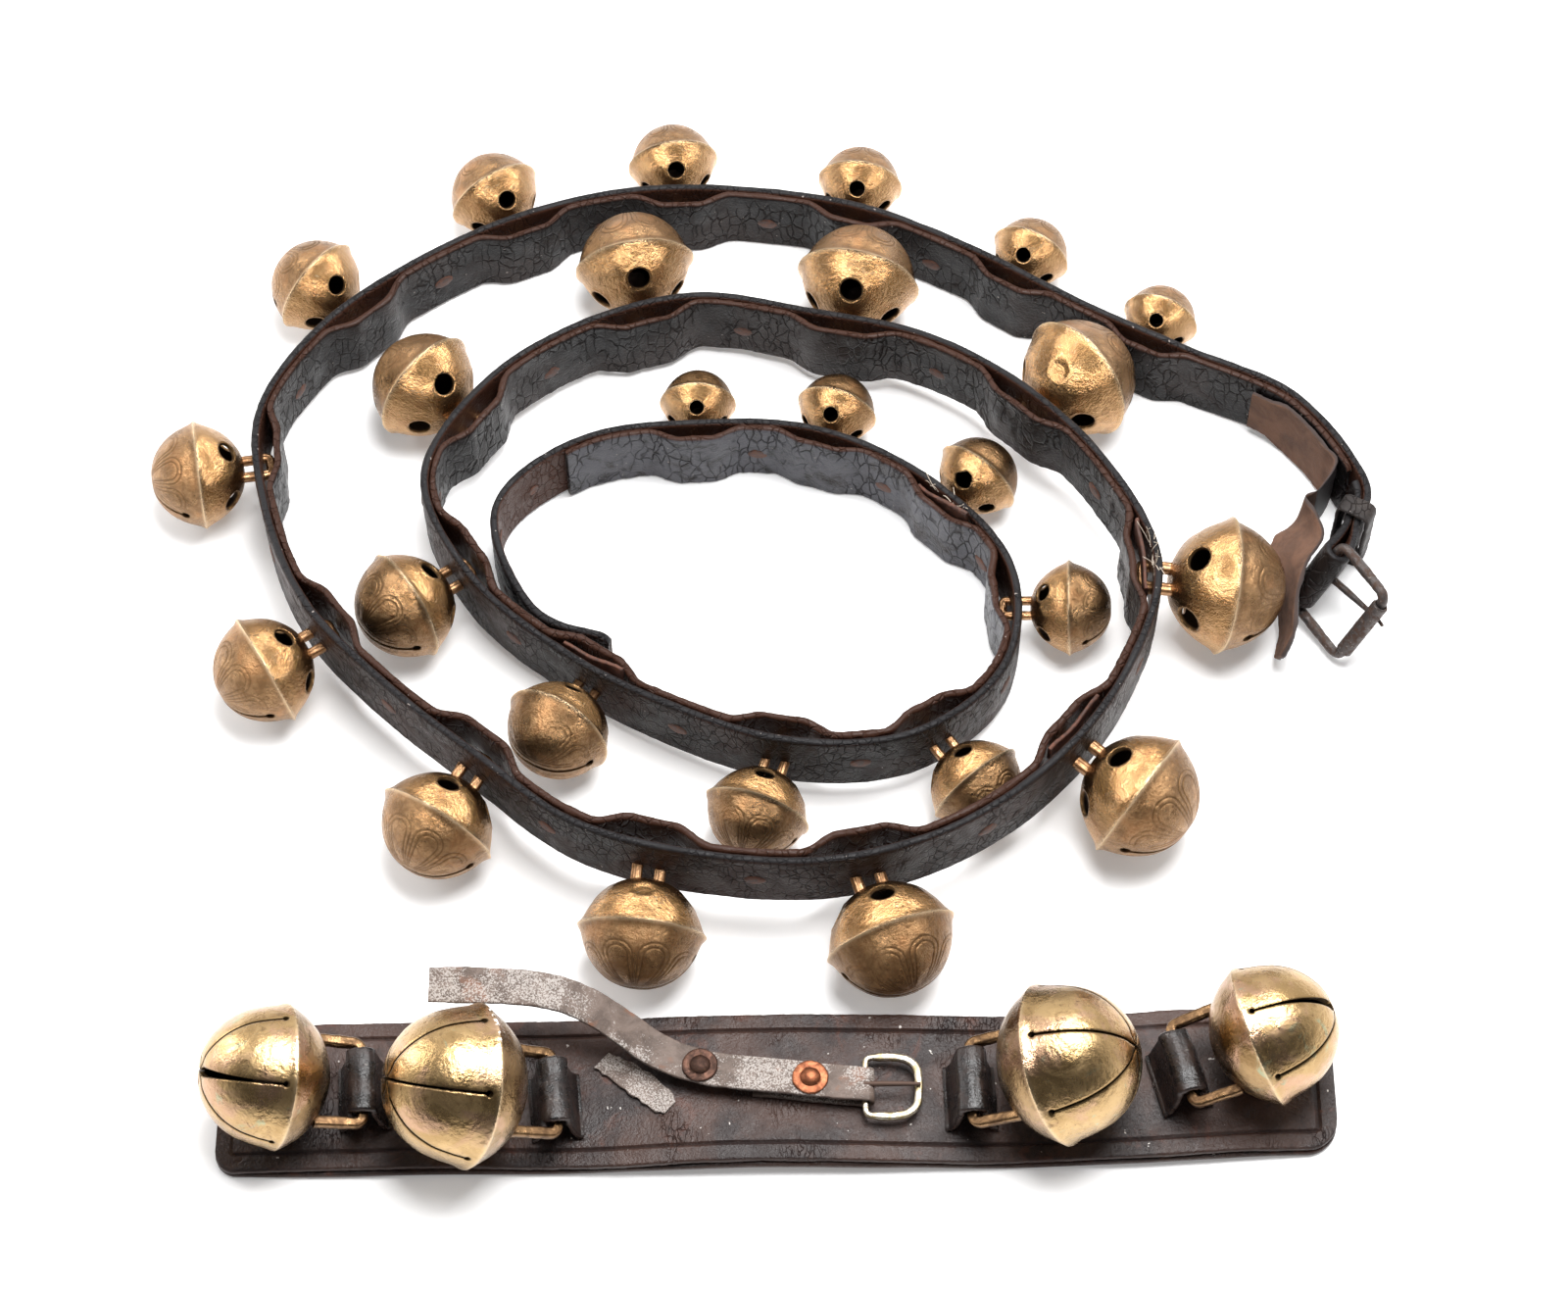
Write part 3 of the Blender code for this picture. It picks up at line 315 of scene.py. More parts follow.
LONG = Route(LONG_ROUTE)
SHORT = Route(SHORT_ROUTE)
SHIFT = Vector(JOINTS["bell_01_rock"]["pos_m"]) - bell_frame(LONG, 0).translation


# ---------------------------------------------------------------- meshes


def make_mesh(name, points, faces, values, sharp=45.0):
    """A smooth-shaded mesh with point attributes: a number or three for each point."""
    sizes = np.fromiter((len(face) for face in faces), np.int32, len(faces))
    corners = np.fromiter(itertools.chain.from_iterable(faces), np.int32, int(sizes.sum()))
    starts = np.concatenate([[0], np.cumsum(sizes)[:-1]]).astype(np.int32)
    points = np.asarray(points, float)
    following = np.append(corners[1:], 0)
    following[starts + sizes - 1] = corners[starts]
    first = np.repeat(corners[starts], sizes)
    turned = np.cross(points[corners], points[following])
    if (points[first] * turned).sum() < 0:
        corners, sizes = corners[::-1].copy(), sizes[::-1].copy()
        starts = np.concatenate([[0], np.cumsum(sizes)[:-1]]).astype(np.int32)
    mesh = bpy.data.meshes.new(name)
    mesh.vertices.add(len(points))
    mesh.vertices.foreach_set("co", np.asarray(points, np.float32).ravel())
    mesh.loops.add(len(corners))
    mesh.loops.foreach_set("vertex_index", corners)
    mesh.polygons.add(len(sizes))
    mesh.polygons.foreach_set("loop_start", starts)
    mesh.update(calc_edges=True)
    for label, value in values.items():
        value = np.asarray(value, np.float32)
        kind = ("FLOAT", "value") if value.ndim == 1 else ("FLOAT_VECTOR", "vector")
        attribute = mesh.attributes.new(label, kind[0], "POINT")
        attribute.data.foreach_set(kind[1], value.ravel())
    mesh.validate()
    mesh.shade_smooth()
    mesh.set_sharp_from_angle(angle=math.radians(sharp))
    return mesh


def plain_values(points, offset):
    """The attributes that every material reads, for a shape with no faces and edges to tell."""
    none = np.zeros(len(points))
    return {"grain": points + offset, "edge": none, "face": none + 1.0, "along": points[:, 2]}


def piece(name, mesh, body, material, replaces=(), matrix=None):
    """Puts a mesh of the layout in the frame, as a piece that rides on a body."""
    obj = bpy.data.objects.new(name, mesh)
    bpy.context.scene.collection.objects.link(obj)
    obj.matrix_world = Matrix.Translation(SHIFT) @ (matrix or Matrix.Identity(4))
    mesh.materials.append(material)
    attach(obj, body)
    if replaces:
        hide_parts(*replaces)
    return obj


def tube_faces(rings, size, closed=False):
    """Quads between rings of points, with a fan-free cap at each open end."""
    ring = np.arange(rings if closed else rings - 1)[:, None] * size
    after = (ring + size) % (rings * size)
    k = np.arange(size)
    following = (k + 1) % size
    quads = np.stack([ring + k, ring + following, after + following, after + k], axis=-1)
    faces = [tuple(face) for face in quads.reshape(-1, 4)]
    if not closed:
        faces.append(tuple(range(size))[::-1])
        faces.append(tuple(range((rings - 1) * size, rings * size)))
    return faces


def round_section(half_width, half_thickness, corner, flats=2, turns=4):
    """A rounded rectangle as (side, up) points, with its outward normals and how far round the
    edge each point is: 0 on the flat faces, 1 on the edges."""
    points, normals = [], []
    inner = np.array((half_width - corner, half_thickness - corner))
    for start, signs in ((0, (1, 1)), (90, (-1, 1)), (180, (-1, -1)), (270, (1, -1))):
        for turn in np.linspace(0, 90, turns):
            angle = math.radians(start + turn)
            normals.append((math.cos(angle), math.sin(angle)))
            points.append(inner * signs + corner * np.array(normals[-1]))
        if start in (0, 180):
            sign = 1 if start == 0 else -1
            for share in np.linspace(1, -1, flats + 2)[1:-1]:
                points.append((inner[0] * share * sign, half_thickness * sign))
                normals.append((0.0, float(sign)))
    points, normals = np.array(points), np.array(normals)
    return points, normals, np.abs(normals[:, 0])


def frames_along(centres, hint):
    """A level side and an up direction at each point of a path, from a direction to lean to."""
    tangents = unit(np.gradient(centres, axis=0))
    sides = unit(np.cross(np.broadcast_to(hint, centres.shape), tangents))
    return sides, np.cross(tangents, sides)


def sweep(name, centres, sides, ups, section, values=None, closed=False, swell=None, bump=None,
          sharp=50.0, seed=0):
    """A solid of this section along a path. swell scales it at each place, and bump gives how
    far each point moves out from its along, side and up distances."""
    points, normals, edge = section
    count, size = len(centres), len(points)
    swell = np.ones((count, 1)) if swell is None else np.asarray(swell).reshape(count, -1)
    across = points[None, :, 0] * swell[:, :1]
    above = points[None, :, 1] * swell[:, -1:]
    along = np.repeat(lengths_along(centres)[:, None], size, axis=1)
    local = np.stack([along, across, above], axis=-1)
    out = sides[:, None] * normals[None, :, :1] + ups[:, None] * normals[None, :, 1:]
    solid = centres[:, None] + sides[:, None] * across[..., None] + ups[:, None] * above[..., None]
    edges = np.repeat(edge[None], count, axis=0)
    if bump is not None:
        solid = solid + out * bump(local, edges)[..., None]
    face = np.repeat(normals[None, :, 1], count, axis=0)
    made = {
        "grain": (local + 0.37 * seed).reshape(-1, 3),
        "edge": edges.ravel(),
        "face": face.ravel(),
        "along": along.ravel(),
    }
    for label, value in (values or {}).items():
        made[label] = value(local, edges).ravel() if callable(value) else value
    return make_mesh(name, solid.reshape(-1, 3), tube_faces(count, size, closed), made, sharp)


def round_bar(radius, sides=14):
    angles = np.linspace(0, 2 * math.pi, sides, endpoint=False)
    normals = np.stack([np.cos(angles), np.sin(angles)], axis=-1)
    return normals * radius, normals, 0 * angles


def forged(size, depth, seed=0):
    """Small uneven dents for metal bars."""

    def bump(local, edges):
        fine = rough(local, size, seed) + 0.5 * rough(local, size / 2.6, seed + 1)
        return depth * fine

    return bump


def ring_quads(rings, size):
    """Quads of a closed loop of rings, each of them closed too."""
    ring = np.arange(rings)[:, None] * size
    after = (ring + size) % (rings * size)
    k = np.arange(size)
    following = (k + 1) % size
    return np.stack([ring + k, after + k, after + following, ring + following], -1).reshape(-1, 4)


def lathe(name, profile, sides, seed=0, dent=0.0, seam=0.0, size=0.0016, sharp=50.0):
    """A half-profile of (radius, height) turned about Z, with small dents and perhaps a seam. A
    profile that starts and ends on the axis is a solid, and any other is a closed ring."""
    profile = np.asarray(profile, float)
    solid = profile[0, 0] < 1e-9
    angles = np.linspace(0, 2 * math.pi, sides, endpoint=False)
    radius = profile[None, :, 0] - seam * hump(angles - math.pi, 0.1)[:, None]
    if solid:
        radius[:, (0, -1)] = 1e-5
    height = np.repeat(profile[None, :, 1], sides, axis=0)
    flat = [radius * np.cos(angles)[:, None], radius * np.sin(angles)[:, None], height]
    points = np.stack(flat, axis=-1).reshape(-1, 3)
    points = points + dent * rough(points, size, seed)[:, None] * unit(points + 1e-9)
    quads = ring_quads(sides, len(profile))
    if solid:
        around = np.arange(sides) * len(profile)
        wrap = quads[:, 1] % len(profile) == len(profile) - 1
        faces = [tuple(face) for face in quads[~wrap]]
        faces += [tuple(around)[::-1], tuple(around + len(profile) - 1)]
    else:
        faces = [tuple(face) for face in quads]
    return make_mesh(name, points, faces, plain_values(points, 0.31 * seed), sharp)


def ribbon(name, rows, thickness, count, bump=None, seed=0, flats=12, corner=0.46):
    """A strip through rows of its middle, its across and through directions, and half width."""
    rows = smooth_rows([[*m, *a, *t, half] for m, a, t, half in rows], count)
    across = unit(rows[:, 3:6])
    through = rows[:, 6:9]
    through = unit(through - across * (through * across).sum(axis=1)[:, None])
    widest = rows[:, 9].max()
    section = round_section(widest, thickness / 2, thickness * corner, flats, 5)
    swell = np.stack([rows[:, 9] / widest, np.ones(count)], axis=-1)
    return sweep(name, rows[:, :3], across, through, section, swell=swell, bump=bump, seed=seed)


def bent_wire(corners, radius, step, closed=True):
    """Points along straight runs between corners, each of them rounded to this radius."""
    corners = np.asarray(corners, float)
    count = len(corners)
    path = []
    for k in range(count):
        here = corners[k]
        if not closed and k in (0, count - 1):
            path.append(here)
            continue
        before, after = corners[k - 1], corners[(k + 1) % count]
        start = here + unit(before - here) * radius
        end = here + unit(after - here) * radius
        for t in np.linspace(0, 1, 7):
            path.append(start * (1 - t) ** 2 + here * 2 * t * (1 - t) + end * t**2)
    path = np.array(path)
    loop = np.vstack([path, path[:1]]) if closed else path
    along = lengths_along(loop)
    pieces = max(4, int(round(along[-1] / step)))
    places = np.linspace(0, along[-1], pieces + 1)[: pieces if closed else None]
    return np.stack([np.interp(places, along, loop[:, k]) for k in range(3)], axis=-1)


def wire_frames(centres, flat, closed):
    """Side and up directions for a path that lies square to the flat direction."""
    if closed:
        tangents = unit(np.roll(centres, -1, axis=0) - np.roll(centres, 1, axis=0))
    else:
        tangents = unit(np.gradient(centres, axis=0))
    ups = np.broadcast_to(np.asarray(flat, float), centres.shape)
    sides = unit(np.cross(ups, tangents))
    return sides, np.cross(tangents, sides)


def wire(name, centres, section, flat, closed, swell=None, bump=None, seed=0, sharp=50.0):
    sides, ups = wire_frames(centres, flat, closed)
    return sweep(name, centres, sides, ups, section, closed=closed, swell=swell, bump=bump,
                 seed=seed, sharp=sharp)


# ---------------------------------------------------------------- balls


def ball_grid(cells):
    """Directions and quads of an even ball, with grid lines on its equator."""
    ticks = np.tan(np.linspace(-1, 1, cells + 1) * math.pi / 4)
    across, above = np.meshgrid(ticks, ticks, indexing="ij")
    index = np.arange((cells + 1) ** 2).reshape(cells + 1, cells + 1)
    quad = np.stack([index[:-1, :-1], index[1:, :-1], index[1:, 1:], index[:-1, 1:]], axis=-1)
    points, faces = [], []
    for axis, sign in itertools.product(range(3), (1, -1)):
        side = np.empty((cells + 1, cells + 1, 3))
        side[..., axis] = sign
        side[..., (axis + 1) % 3] = across
        side[..., (axis + 2) % 3] = above
        points.append(unit(side.reshape(-1, 3)))
        faces.append((quad[..., :: sign] + len(faces) * (cells + 1) ** 2).reshape(-1, 4))
    points = np.concatenate(points)
    _, first, index = np.unique(np.round(points, 6), axis=0, return_index=True, return_inverse=True)
    return points[first], index.reshape(-1)[np.concatenate(faces)]


def fine_ball(cells, near, reaches):
    """A ball whose faces are halved wherever a detail is near, once for each reach."""
    directions, quads = ball_grid(cells)
    shape = bmesh.new()
    corners = [shape.verts.new(point) for point in directions]
    for quad in quads:
        shape.faces.new([corners[k] for k in quad])
    for reach in reaches:
        shape.edges.ensure_lookup_table()
        middles = unit([edge.verts[0].co + edge.verts[1].co for edge in shape.edges])
        chosen = [shape.edges[k] for k in np.flatnonzero(near(middles) < reach)]
        bmesh.ops.subdivide_edges(shape, edges=chosen, cuts=1, use_grid_fill=True)
        for vertex in shape.verts:
            vertex.co.normalize()
    shape.verts.ensure_lookup_table()
    shape.verts.index_update()
    directions = np.array([vertex.co for vertex in shape.verts])
    faces = [tuple(vertex.index for vertex in face.verts) for face in shape.faces]
    shape.free()
    return directions, faces


def opened(directions, faces, opening):
    """Leaves out the faces inside an opening, and draws the rest up to its rim."""
    middles = unit([directions[list(face)].mean(axis=0) for face in faces])
    kept = [face for face, clear in zip(faces, opening(middles) > 0) if clear]
    used, kept_flat = np.unique(np.concatenate([np.array(f) for f in kept]), return_inverse=True)
    directions = directions[used]
    sizes = np.cumsum([len(face) for face in kept])[:-1]
    kept = [tuple(face) for face in np.split(kept_flat.reshape(-1), sizes)]
    rims = rim_edges(kept)
    rim = np.unique(rims)
    step = 1e-4
    for _ in range(5):
        here = directions[rim]
        value = opening(here)
        slope = np.stack(
            [(opening(unit(here + step * axis)) - value) / step for axis in np.eye(3)], axis=-1
        )
        size = np.maximum((slope**2).sum(axis=-1), 0.05)
        directions[rim] = unit(here - slope * (value / size)[:, None])
    return directions, kept, rims


def rim_edges(faces):
    """The edges that only one face has, in that face's direction."""
    pairs = np.concatenate([np.stack([f, np.roll(f, -1)], axis=-1) for f in map(np.array, faces)])
    key = np.sort(pairs, axis=1)
    _, index, count = np.unique(key, axis=0, return_inverse=True, return_counts=True)
    return pairs[count[index.reshape(-1)] == 1]


def shell(directions, faces, rims, outside, inside):
    """The outer skin, the inner skin and the walls between them at each rim."""
    count = len(directions)
    solid = np.concatenate([outside, inside])
    faces = faces + [tuple(k + count for k in reversed(face)) for face in faces]
    faces += [(a, a + count, b + count, b) for b, a in rims[:, ::-1]]
    return solid, faces


def outer_only(values):
    """Values for both skins of a shell, which are 0 on the inner one."""
    return np.concatenate([values, 0 * values])


def radial_curve(*profiles):
    """How far the surface is from the middle at each angle from the throat's pole, from
    half-profiles of (distance from the axis, height)."""
    dense = np.concatenate([smooth_rows(profile, 240) for profile in profiles])
    angles = np.arctan2(dense[:, 0], dense[:, 1])
    order = np.argsort(angles)
    reach = np.hypot(dense[:, 0], dense[:, 1])
    return lambda polar: np.interp(polar, angles[order], reach[order])


def polar_of(directions):
    return np.arccos(np.clip(directions[:, 2], -1.0, 1.0))


PETAL_THROAT = (
    (0.0, 0.86), (0.2, 0.845), (0.4, 0.775), (0.58, 0.655), (0.73, 0.49), (0.835, 0.31),
    (0.893, 0.16), (0.93, 0.065), (1.0, 0.0),
)
PETAL_SHANK = (
    (1.0, 0.0), (0.938, -0.05), (0.9, -0.12), (0.83, -0.27), (0.735, -0.42), (0.6, -0.57),
    (0.42, -0.7), (0.21, -0.78), (0.0, -0.8),
)
PETAL_INSIDE = (
    (0.0, 0.78), (0.38, 0.7), (0.66, 0.47), (0.82, 0.2), (0.87, 0.0), (0.8, -0.22),
    (0.6, -0.5), (0.3, -0.68), (0.0, -0.72),
)
HOLE_LEAN = math.radians(130.0)
HOLE_RADIUS = 0.185
SLIT_HALF = 0.034
KEYHOLE_RADIUS = 0.08
KEYHOLE_POLAR = math.radians(68.0)
PETAL_COUNT = 8

petal_reach = radial_curve(PETAL_THROAT, PETAL_SHANK)
petal_inner = radial_curve(PETAL_INSIDE)


def petal_surface(directions):
    return directions * petal_reach(polar_of(directions))[:, None]


def hole_axis(quarter):
    turn = quarter * math.pi / 2
    return np.array(
        (math.sin(HOLE_LEAN) * math.cos(turn), math.sin(HOLE_LEAN) * math.sin(turn),
         math.cos(HOLE_LEAN))
    )


def distance_from_axis(points, axis):
    along = points @ axis
    apart = np.linalg.norm(points - along[:, None] * axis, axis=1)
    return np.where(along > 0, apart, NONE_NEAR)


def petal_opening(blind=False, ragged=False):
    """Distance from the nearest opening of a petal bell: four holes and the throat."""

    def opening(directions):
        points = petal_surface(directions)
        polar = polar_of(directions)
        found = np.full(len(points), NONE_NEAR)
        for quarter in range(4):
            radius = HOLE_RADIUS
            if blind and quarter == 1:
                continue
            if ragged and quarter == 1:
                radius = HOLE_RADIUS * (1.15 + 0.22 * rough(points, 0.1, 5))
            found = np.minimum(found, distance_from_axis(points, hole_axis(quarter)) - radius)
        slit = np.where(polar < KEYHOLE_POLAR, np.abs(points[:, 1]) - SLIT_HALF, NONE_NEAR)
        found = np.minimum(found, slit)
        for sign in (1, -1):
            direction = np.array((sign * math.sin(KEYHOLE_POLAR), 0.0, math.cos(KEYHOLE_POLAR)))
            centre = petal_surface(direction[None])[0]
            apart = np.linalg.norm(points - centre, axis=1)
            found = np.minimum(found, apart - KEYHOLE_RADIUS)
        return found

    return opening


def petal_lines(points):
    """Distance from the nearest cast line of the petals: eight double arches, open towards the
    throat, and two lines along each side of it."""
    polar = polar_of(unit(points))
    turn = np.arctan2(points[:, 1], points[:, 0]) / (2 * math.pi / PETAL_COUNT)
    across = (turn - np.floor(turn) - 0.5) * (2 * math.pi / PETAL_COUNT) * 0.78
    beyond = np.maximum(polar * 0.95 - 0.9, 0.0)
    arch = np.hypot(across, beyond)
    narrow = np.clip(np.sin(polar) / math.sin(math.radians(55.0)), 0.2, 1.0)
    lines = np.minimum(np.abs(arch - 0.262), np.abs(arch - 0.178)) * narrow
    side = np.abs(points[:, 1])
    lines = np.where(side < 0.2, 9.0, lines)
    border = np.minimum(np.abs(side - 0.125), np.abs(side - 0.185))
    border = np.where(np.abs(points[:, 0]) < 0.62, border, NONE_NEAR)
    return np.where(points[:, 2] > 0.05, np.minimum(lines, border), NONE_NEAR)


def petal_near(opening):
    def near(directions):
        points = petal_surface(directions)
        ridge = np.abs(points[:, 2]) * 1.3
        return np.minimum(np.minimum(petal_lines(points), np.abs(opening(directions))), ridge)

    return near


def petal_topology(blind=False, ragged=False):
    opening = petal_opening(blind, ragged)
    directions, faces = fine_ball(28, petal_near(opening), (0.075, 0.04))
    return (*opened(directions, faces, opening), opening)


def petal_shape(topology, index):
    """One petal bell's mesh, with its own casting marks and wear."""
    directions, faces, rims, opening = topology
    seed = 40 + 7 * index
    polar = polar_of(directions)
    ridge = np.abs(polar - math.pi / 2)
    smooth = petal_surface(directions)
    reach = petal_reach(polar)
    reach -= 0.018 * np.sqrt(hump(ridge, 0.018))
    uneven = 0.01 * rough(smooth, 0.75, seed) + 0.0035 * rough(smooth, 0.22, seed + 1)
    pits = -0.004 * ease(rough(smooth, 0.05, seed + 2), 0.45, 0.9)
    lines = petal_lines(smooth)
    worn = 0.55 + 0.45 * rough(smooth, 0.45, seed + 3)
    groove = hump(lines, 0.0135)
    rim = opening(directions)
    lip = np.where(smooth[:, 2] < 0, hump(rim - 0.03, 0.022), 0.0)
    relief = uneven + pits - 0.0105 * groove * worn + 0.009 * lip
    relief += 0.012 * hump(ridge, 0.05) * rough(smooth, 0.35, seed + 4)
    blind_darkening = 0.0
    if index in BLIND_BELLS:
        apart = distance_from_axis(smooth, hole_axis(1))
        relief += -0.03 * (1 - ease(apart, 0.1, 0.2)) + 0.012 * hump(apart - 0.185, 0.028)
        blind_darkening = hump(apart - 0.15, 0.05) * 0.6
    outside = directions * (reach + relief)[:, None]
    inner = directions * petal_inner(polar)[:, None]
    solid, all_faces = shell(directions, faces, rims, outside, inner)
    # Darker round the openings and, on a blind bell, round its blind hole's dimple.
    opening_darkening = np.clip(hump(np.maximum(rim, 0), 0.035) * 0.8 + blind_darkening, 0, 1)
    values = {
        "spot": np.concatenate([smooth, smooth * 0.9]) + 3.1 * index,
        "groove": outer_only(groove * np.clip(worn * 1.3, 0, 1)),
        "throat": np.tile(ease(smooth[:, 2], -0.01, 0.01), 2),
        # Where the painted highlight along the ridge goes.
        "ridge_highlight": outer_only(hump(ridge, 0.028)),
        "rim": np.tile(opening_darkening, 2),
        "inside": 1.0 - outer_only(np.ones(len(smooth))),
    }
    return make_mesh(f"petal_bell_{index + 1:02d}", solid, all_faces, values, BELL_CREASE)


def shank_shape(index):
    """The shank's two ribbed tabs and the crown that joins them behind the outer ply."""
    radius = bell_radius(index)
    arm = bell_arm(index)
    half = 0.175 * radius
    foot = arm - 0.7 * radius
    corner = 0.06 * radius
    path = [(-half, foot), (-half, foot * 0.5), (-half, corner), (-half + corner, 0.0)]
    path += [(0.0, 0.0)]
    path += [(-x, z) for x, z in reversed(path[:-1])]
    centres = smooth_rows([(x, 0.0, z) for x, z in path], 60)
    tangents = unit(np.gradient(centres, axis=0))
    ups = np.tile((0.0, 1.0, 0.0), (60, 1))
    sides = np.cross(ups, tangents)
    section = round_section(0.085 * radius, 0.055 * radius, 0.022 * radius, 6, 4)

    def ribs(local, edges):
        ribbed = 0.0006 * np.cos(local[..., 1] / (0.17 * radius) * 5 * math.pi) * (1 - edges)
        return 0.35 * ribbed + 0.00012 * rough(local, 0.0012, index)

    return sweep(f"petal_shank_{index + 1:02d}", centres, sides, ups, section, bump=ribs,
                 seed=index)


# ---------------------------------------------------------------- materials


class Finish:
    """Builds one node material a step at a time. Every pattern reads the mesh's own attributes."""

    def __init__(self, name, **settings):
        self.material = bpy.data.materials.new(name)
        self.material.use_nodes = True
        self.tree = self.material.node_tree
        self.shader = self.tree.nodes["Principled BSDF"]
        self.colour = None
        for socket, value in settings.items():
            self.shader.inputs[socket.replace("_", " ")].default_value = value

    def node(self, kind, *links, inputs=None, **settings):
        node = self.tree.nodes.new(kind)
        for label, value in settings.items():
            setattr(node, label, value)
        for socket, value in [*enumerate(links), *(inputs or {}).items()]:
            self.set(node.inputs[socket], value)
        return node

    def set(self, socket, value):
        if isinstance(value, bpy.types.NodeSocket):
            self.tree.links.new(value, socket)
        elif value is not None:
            socket.default_value = value

    def value(self, name):
        return self.node("ShaderNodeAttribute", attribute_name=name).outputs["Fac"]

    def vector(self, name):
        return self.node("ShaderNodeAttribute", attribute_name=name).outputs["Vector"]

    def stretched(self, vector, scale):
        return self.node("ShaderNodeVectorMath", vector, scale, operation="MULTIPLY").outputs[0]

    def math(self, operation, first, second):
        return self.node("ShaderNodeMath", first, second, operation=operation).outputs[0]

    def plus(self, first, second):
        return self.math("ADD", first, second)

    def minus(self, first, second):
        return self.math("SUBTRACT", first, second)

    def times(self, first, second):
        return self.math("MULTIPLY", first, second)

    def noise(self, vector, scale, detail=4.0, roughness=0.6, distortion=0.0):
        inputs = {"Vector": vector, "Scale": scale, "Detail": detail, "Roughness": roughness,
                  "Distortion": distortion}
        return self.node("ShaderNodeTexNoise", inputs=inputs).outputs["Fac"]

    def warped(self, grain, stretch, scale, reach):
        """The grain, stretched, and pushed about by up to this reach by noise of this scale."""
        noise = self.node("ShaderNodeTexNoise", inputs={"Vector": grain, "Scale": scale})
        push = self.stretched(noise.outputs["Color"], (reach, reach, reach))
        along = self.stretched(grain, stretch)
        return self.node("ShaderNodeVectorMath", along, push, operation="ADD").outputs[0]

    def cracks(self, vector, scale):
        """Distance from the nearest line of a net of cracks."""
        inputs = {"Vector": vector, "Scale": scale}
        node = self.node("ShaderNodeTexVoronoi", inputs=inputs, feature="DISTANCE_TO_EDGE")
        return node.outputs["Distance"]

    def range(self, value, low, high, start=0.0, end=1.0):
        node = self.node("ShaderNodeMapRange", value, low, high, start, end)
        node.interpolation_type = "SMOOTHSTEP"
        return node.outputs[0]

    def mix(self, share, first, second):
        inputs = {"Factor": share}
        for socket, value in ((6, first), (7, second)):
            inputs[socket] = (*value, 1.0) if isinstance(value, tuple) else value
        return self.node("ShaderNodeMix", inputs=inputs, data_type="RGBA").outputs[2]

    def lay(self, share, colour):
        """Lays this share of a colour over what is there."""
        self.colour = self.mix(share, self.colour, colour)

    def bump(self, height, distance, strength):
        inputs = {"Strength": strength, "Distance": distance, "Height": height}
        return self.node("ShaderNodeBump", inputs=inputs).outputs["Normal"]

    def finish(self, roughness, normal, metallic=None):
        links = zip(("Base Color", "Roughness", "Normal", "Metallic"),
                    (self.colour, roughness, normal, metallic))
        for label, value in links:
            self.set(self.shader.inputs[label], value)
        return self.material


def petal_brass():
    """Bronze, polished on the shank half and browned on the petals, darker in every line and with a
    painted highlight along the ridge.
    """
    made = Finish("petal_bell_brass", Metallic=1.0)
    spot = made.vector("spot")
    marks = ("throat", "groove", "ridge_highlight", "rim", "inside")
    throat, groove, ridge_highlight, rim, inside = (made.value(mark) for mark in marks)
    broad = made.noise(spot, 2.2, 3.0, 0.55, 0.4)
    cloud = made.noise(spot, 6.0, 5.0, 0.65, 0.8)
    fine = made.noise(spot, 38.0, 4.0, 0.7)
    speck = made.range(made.noise(spot, 55.0, 2.0, 0.5), 0.66, 0.72)
    gold = made.mix(made.range(cloud, 0.35, 0.7), (0.47, 0.265, 0.11), (0.64, 0.385, 0.18))
    brown = made.mix(made.range(cloud, 0.35, 0.7), (0.22, 0.122, 0.056), (0.38, 0.225, 0.11))
    made.colour = made.mix(throat, gold, brown)
    red = made.range(broad, 0.52, 0.72, 0.0, 0.45)
    made.lay(red, (0.5, 0.245, 0.105))
    tarnish = made.range(made.noise(spot, 3.4, 6.0, 0.7, 1.2), 0.56, 0.7, 0.0, 0.55)
    made.lay(tarnish, (0.2, 0.11, 0.055))
    made.lay(made.times(fine, 0.22), (0.25, 0.14, 0.06))
    made.lay(made.times(groove, 0.8), (0.1, 0.055, 0.025))
    made.lay(made.times(speck, 0.7), (0.1, 0.06, 0.03))
    green = made.range(made.noise(spot, 17.0, 3.0, 0.6), 0.7, 0.76, 0.0, 0.55)
    made.lay(green, (0.16, 0.26, 0.16))
    # Painted highlight: a pale cream line along the ridge.
    made.lay(made.times(ridge_highlight, 0.6), (0.86, 0.66, 0.42))
    dark = made.times(rim, made.range(cloud, 0.3, 0.75, 0.25, 0.85))
    made.lay(dark, (0.16, 0.095, 0.045))
    made.lay(inside, (0.05, 0.03, 0.016))
    rough_base = made.range(broad, 0.3, 0.7, 0.17, 0.26)
    roughness = made.plus(rough_base, made.times(throat, 0.075))
    roughness = made.plus(roughness, made.times(tarnish, 0.25))
    roughness = made.plus(roughness, made.times(groove, 0.25))
    roughness = made.plus(roughness, made.times(inside, 0.4))
    height = made.plus(made.noise(spot, 16.0, 5.0, 0.7), made.times(speck, -0.6))
    normal = made.bump(height, 0.012, 0.35)
    return made.finish(roughness, normal)


def plain_brass(name, light, dark, shine=0.24):
    """Worn brass or bronze for bars, loops and shanks."""
    made = Finish(name, Metallic=1.0)
    grain = made.vector("grain")
    cloud = made.noise(grain, 260.0, 5.0, 0.65, 0.6)
    made.colour = made.mix(made.range(cloud, 0.35, 0.68), dark, light)
    speck = made.range(made.noise(grain, 1400.0, 2.0, 0.5), 0.62, 0.72, 0.0, 0.6)
    made.lay(speck, (0.1, 0.06, 0.03))
    roughness = made.range(cloud, 0.3, 0.7, shine + 0.2, shine)
    normal = made.bump(made.noise(grain, 900.0, 4.0, 0.7), 0.0004, 0.4)
    return made.finish(roughness, normal)


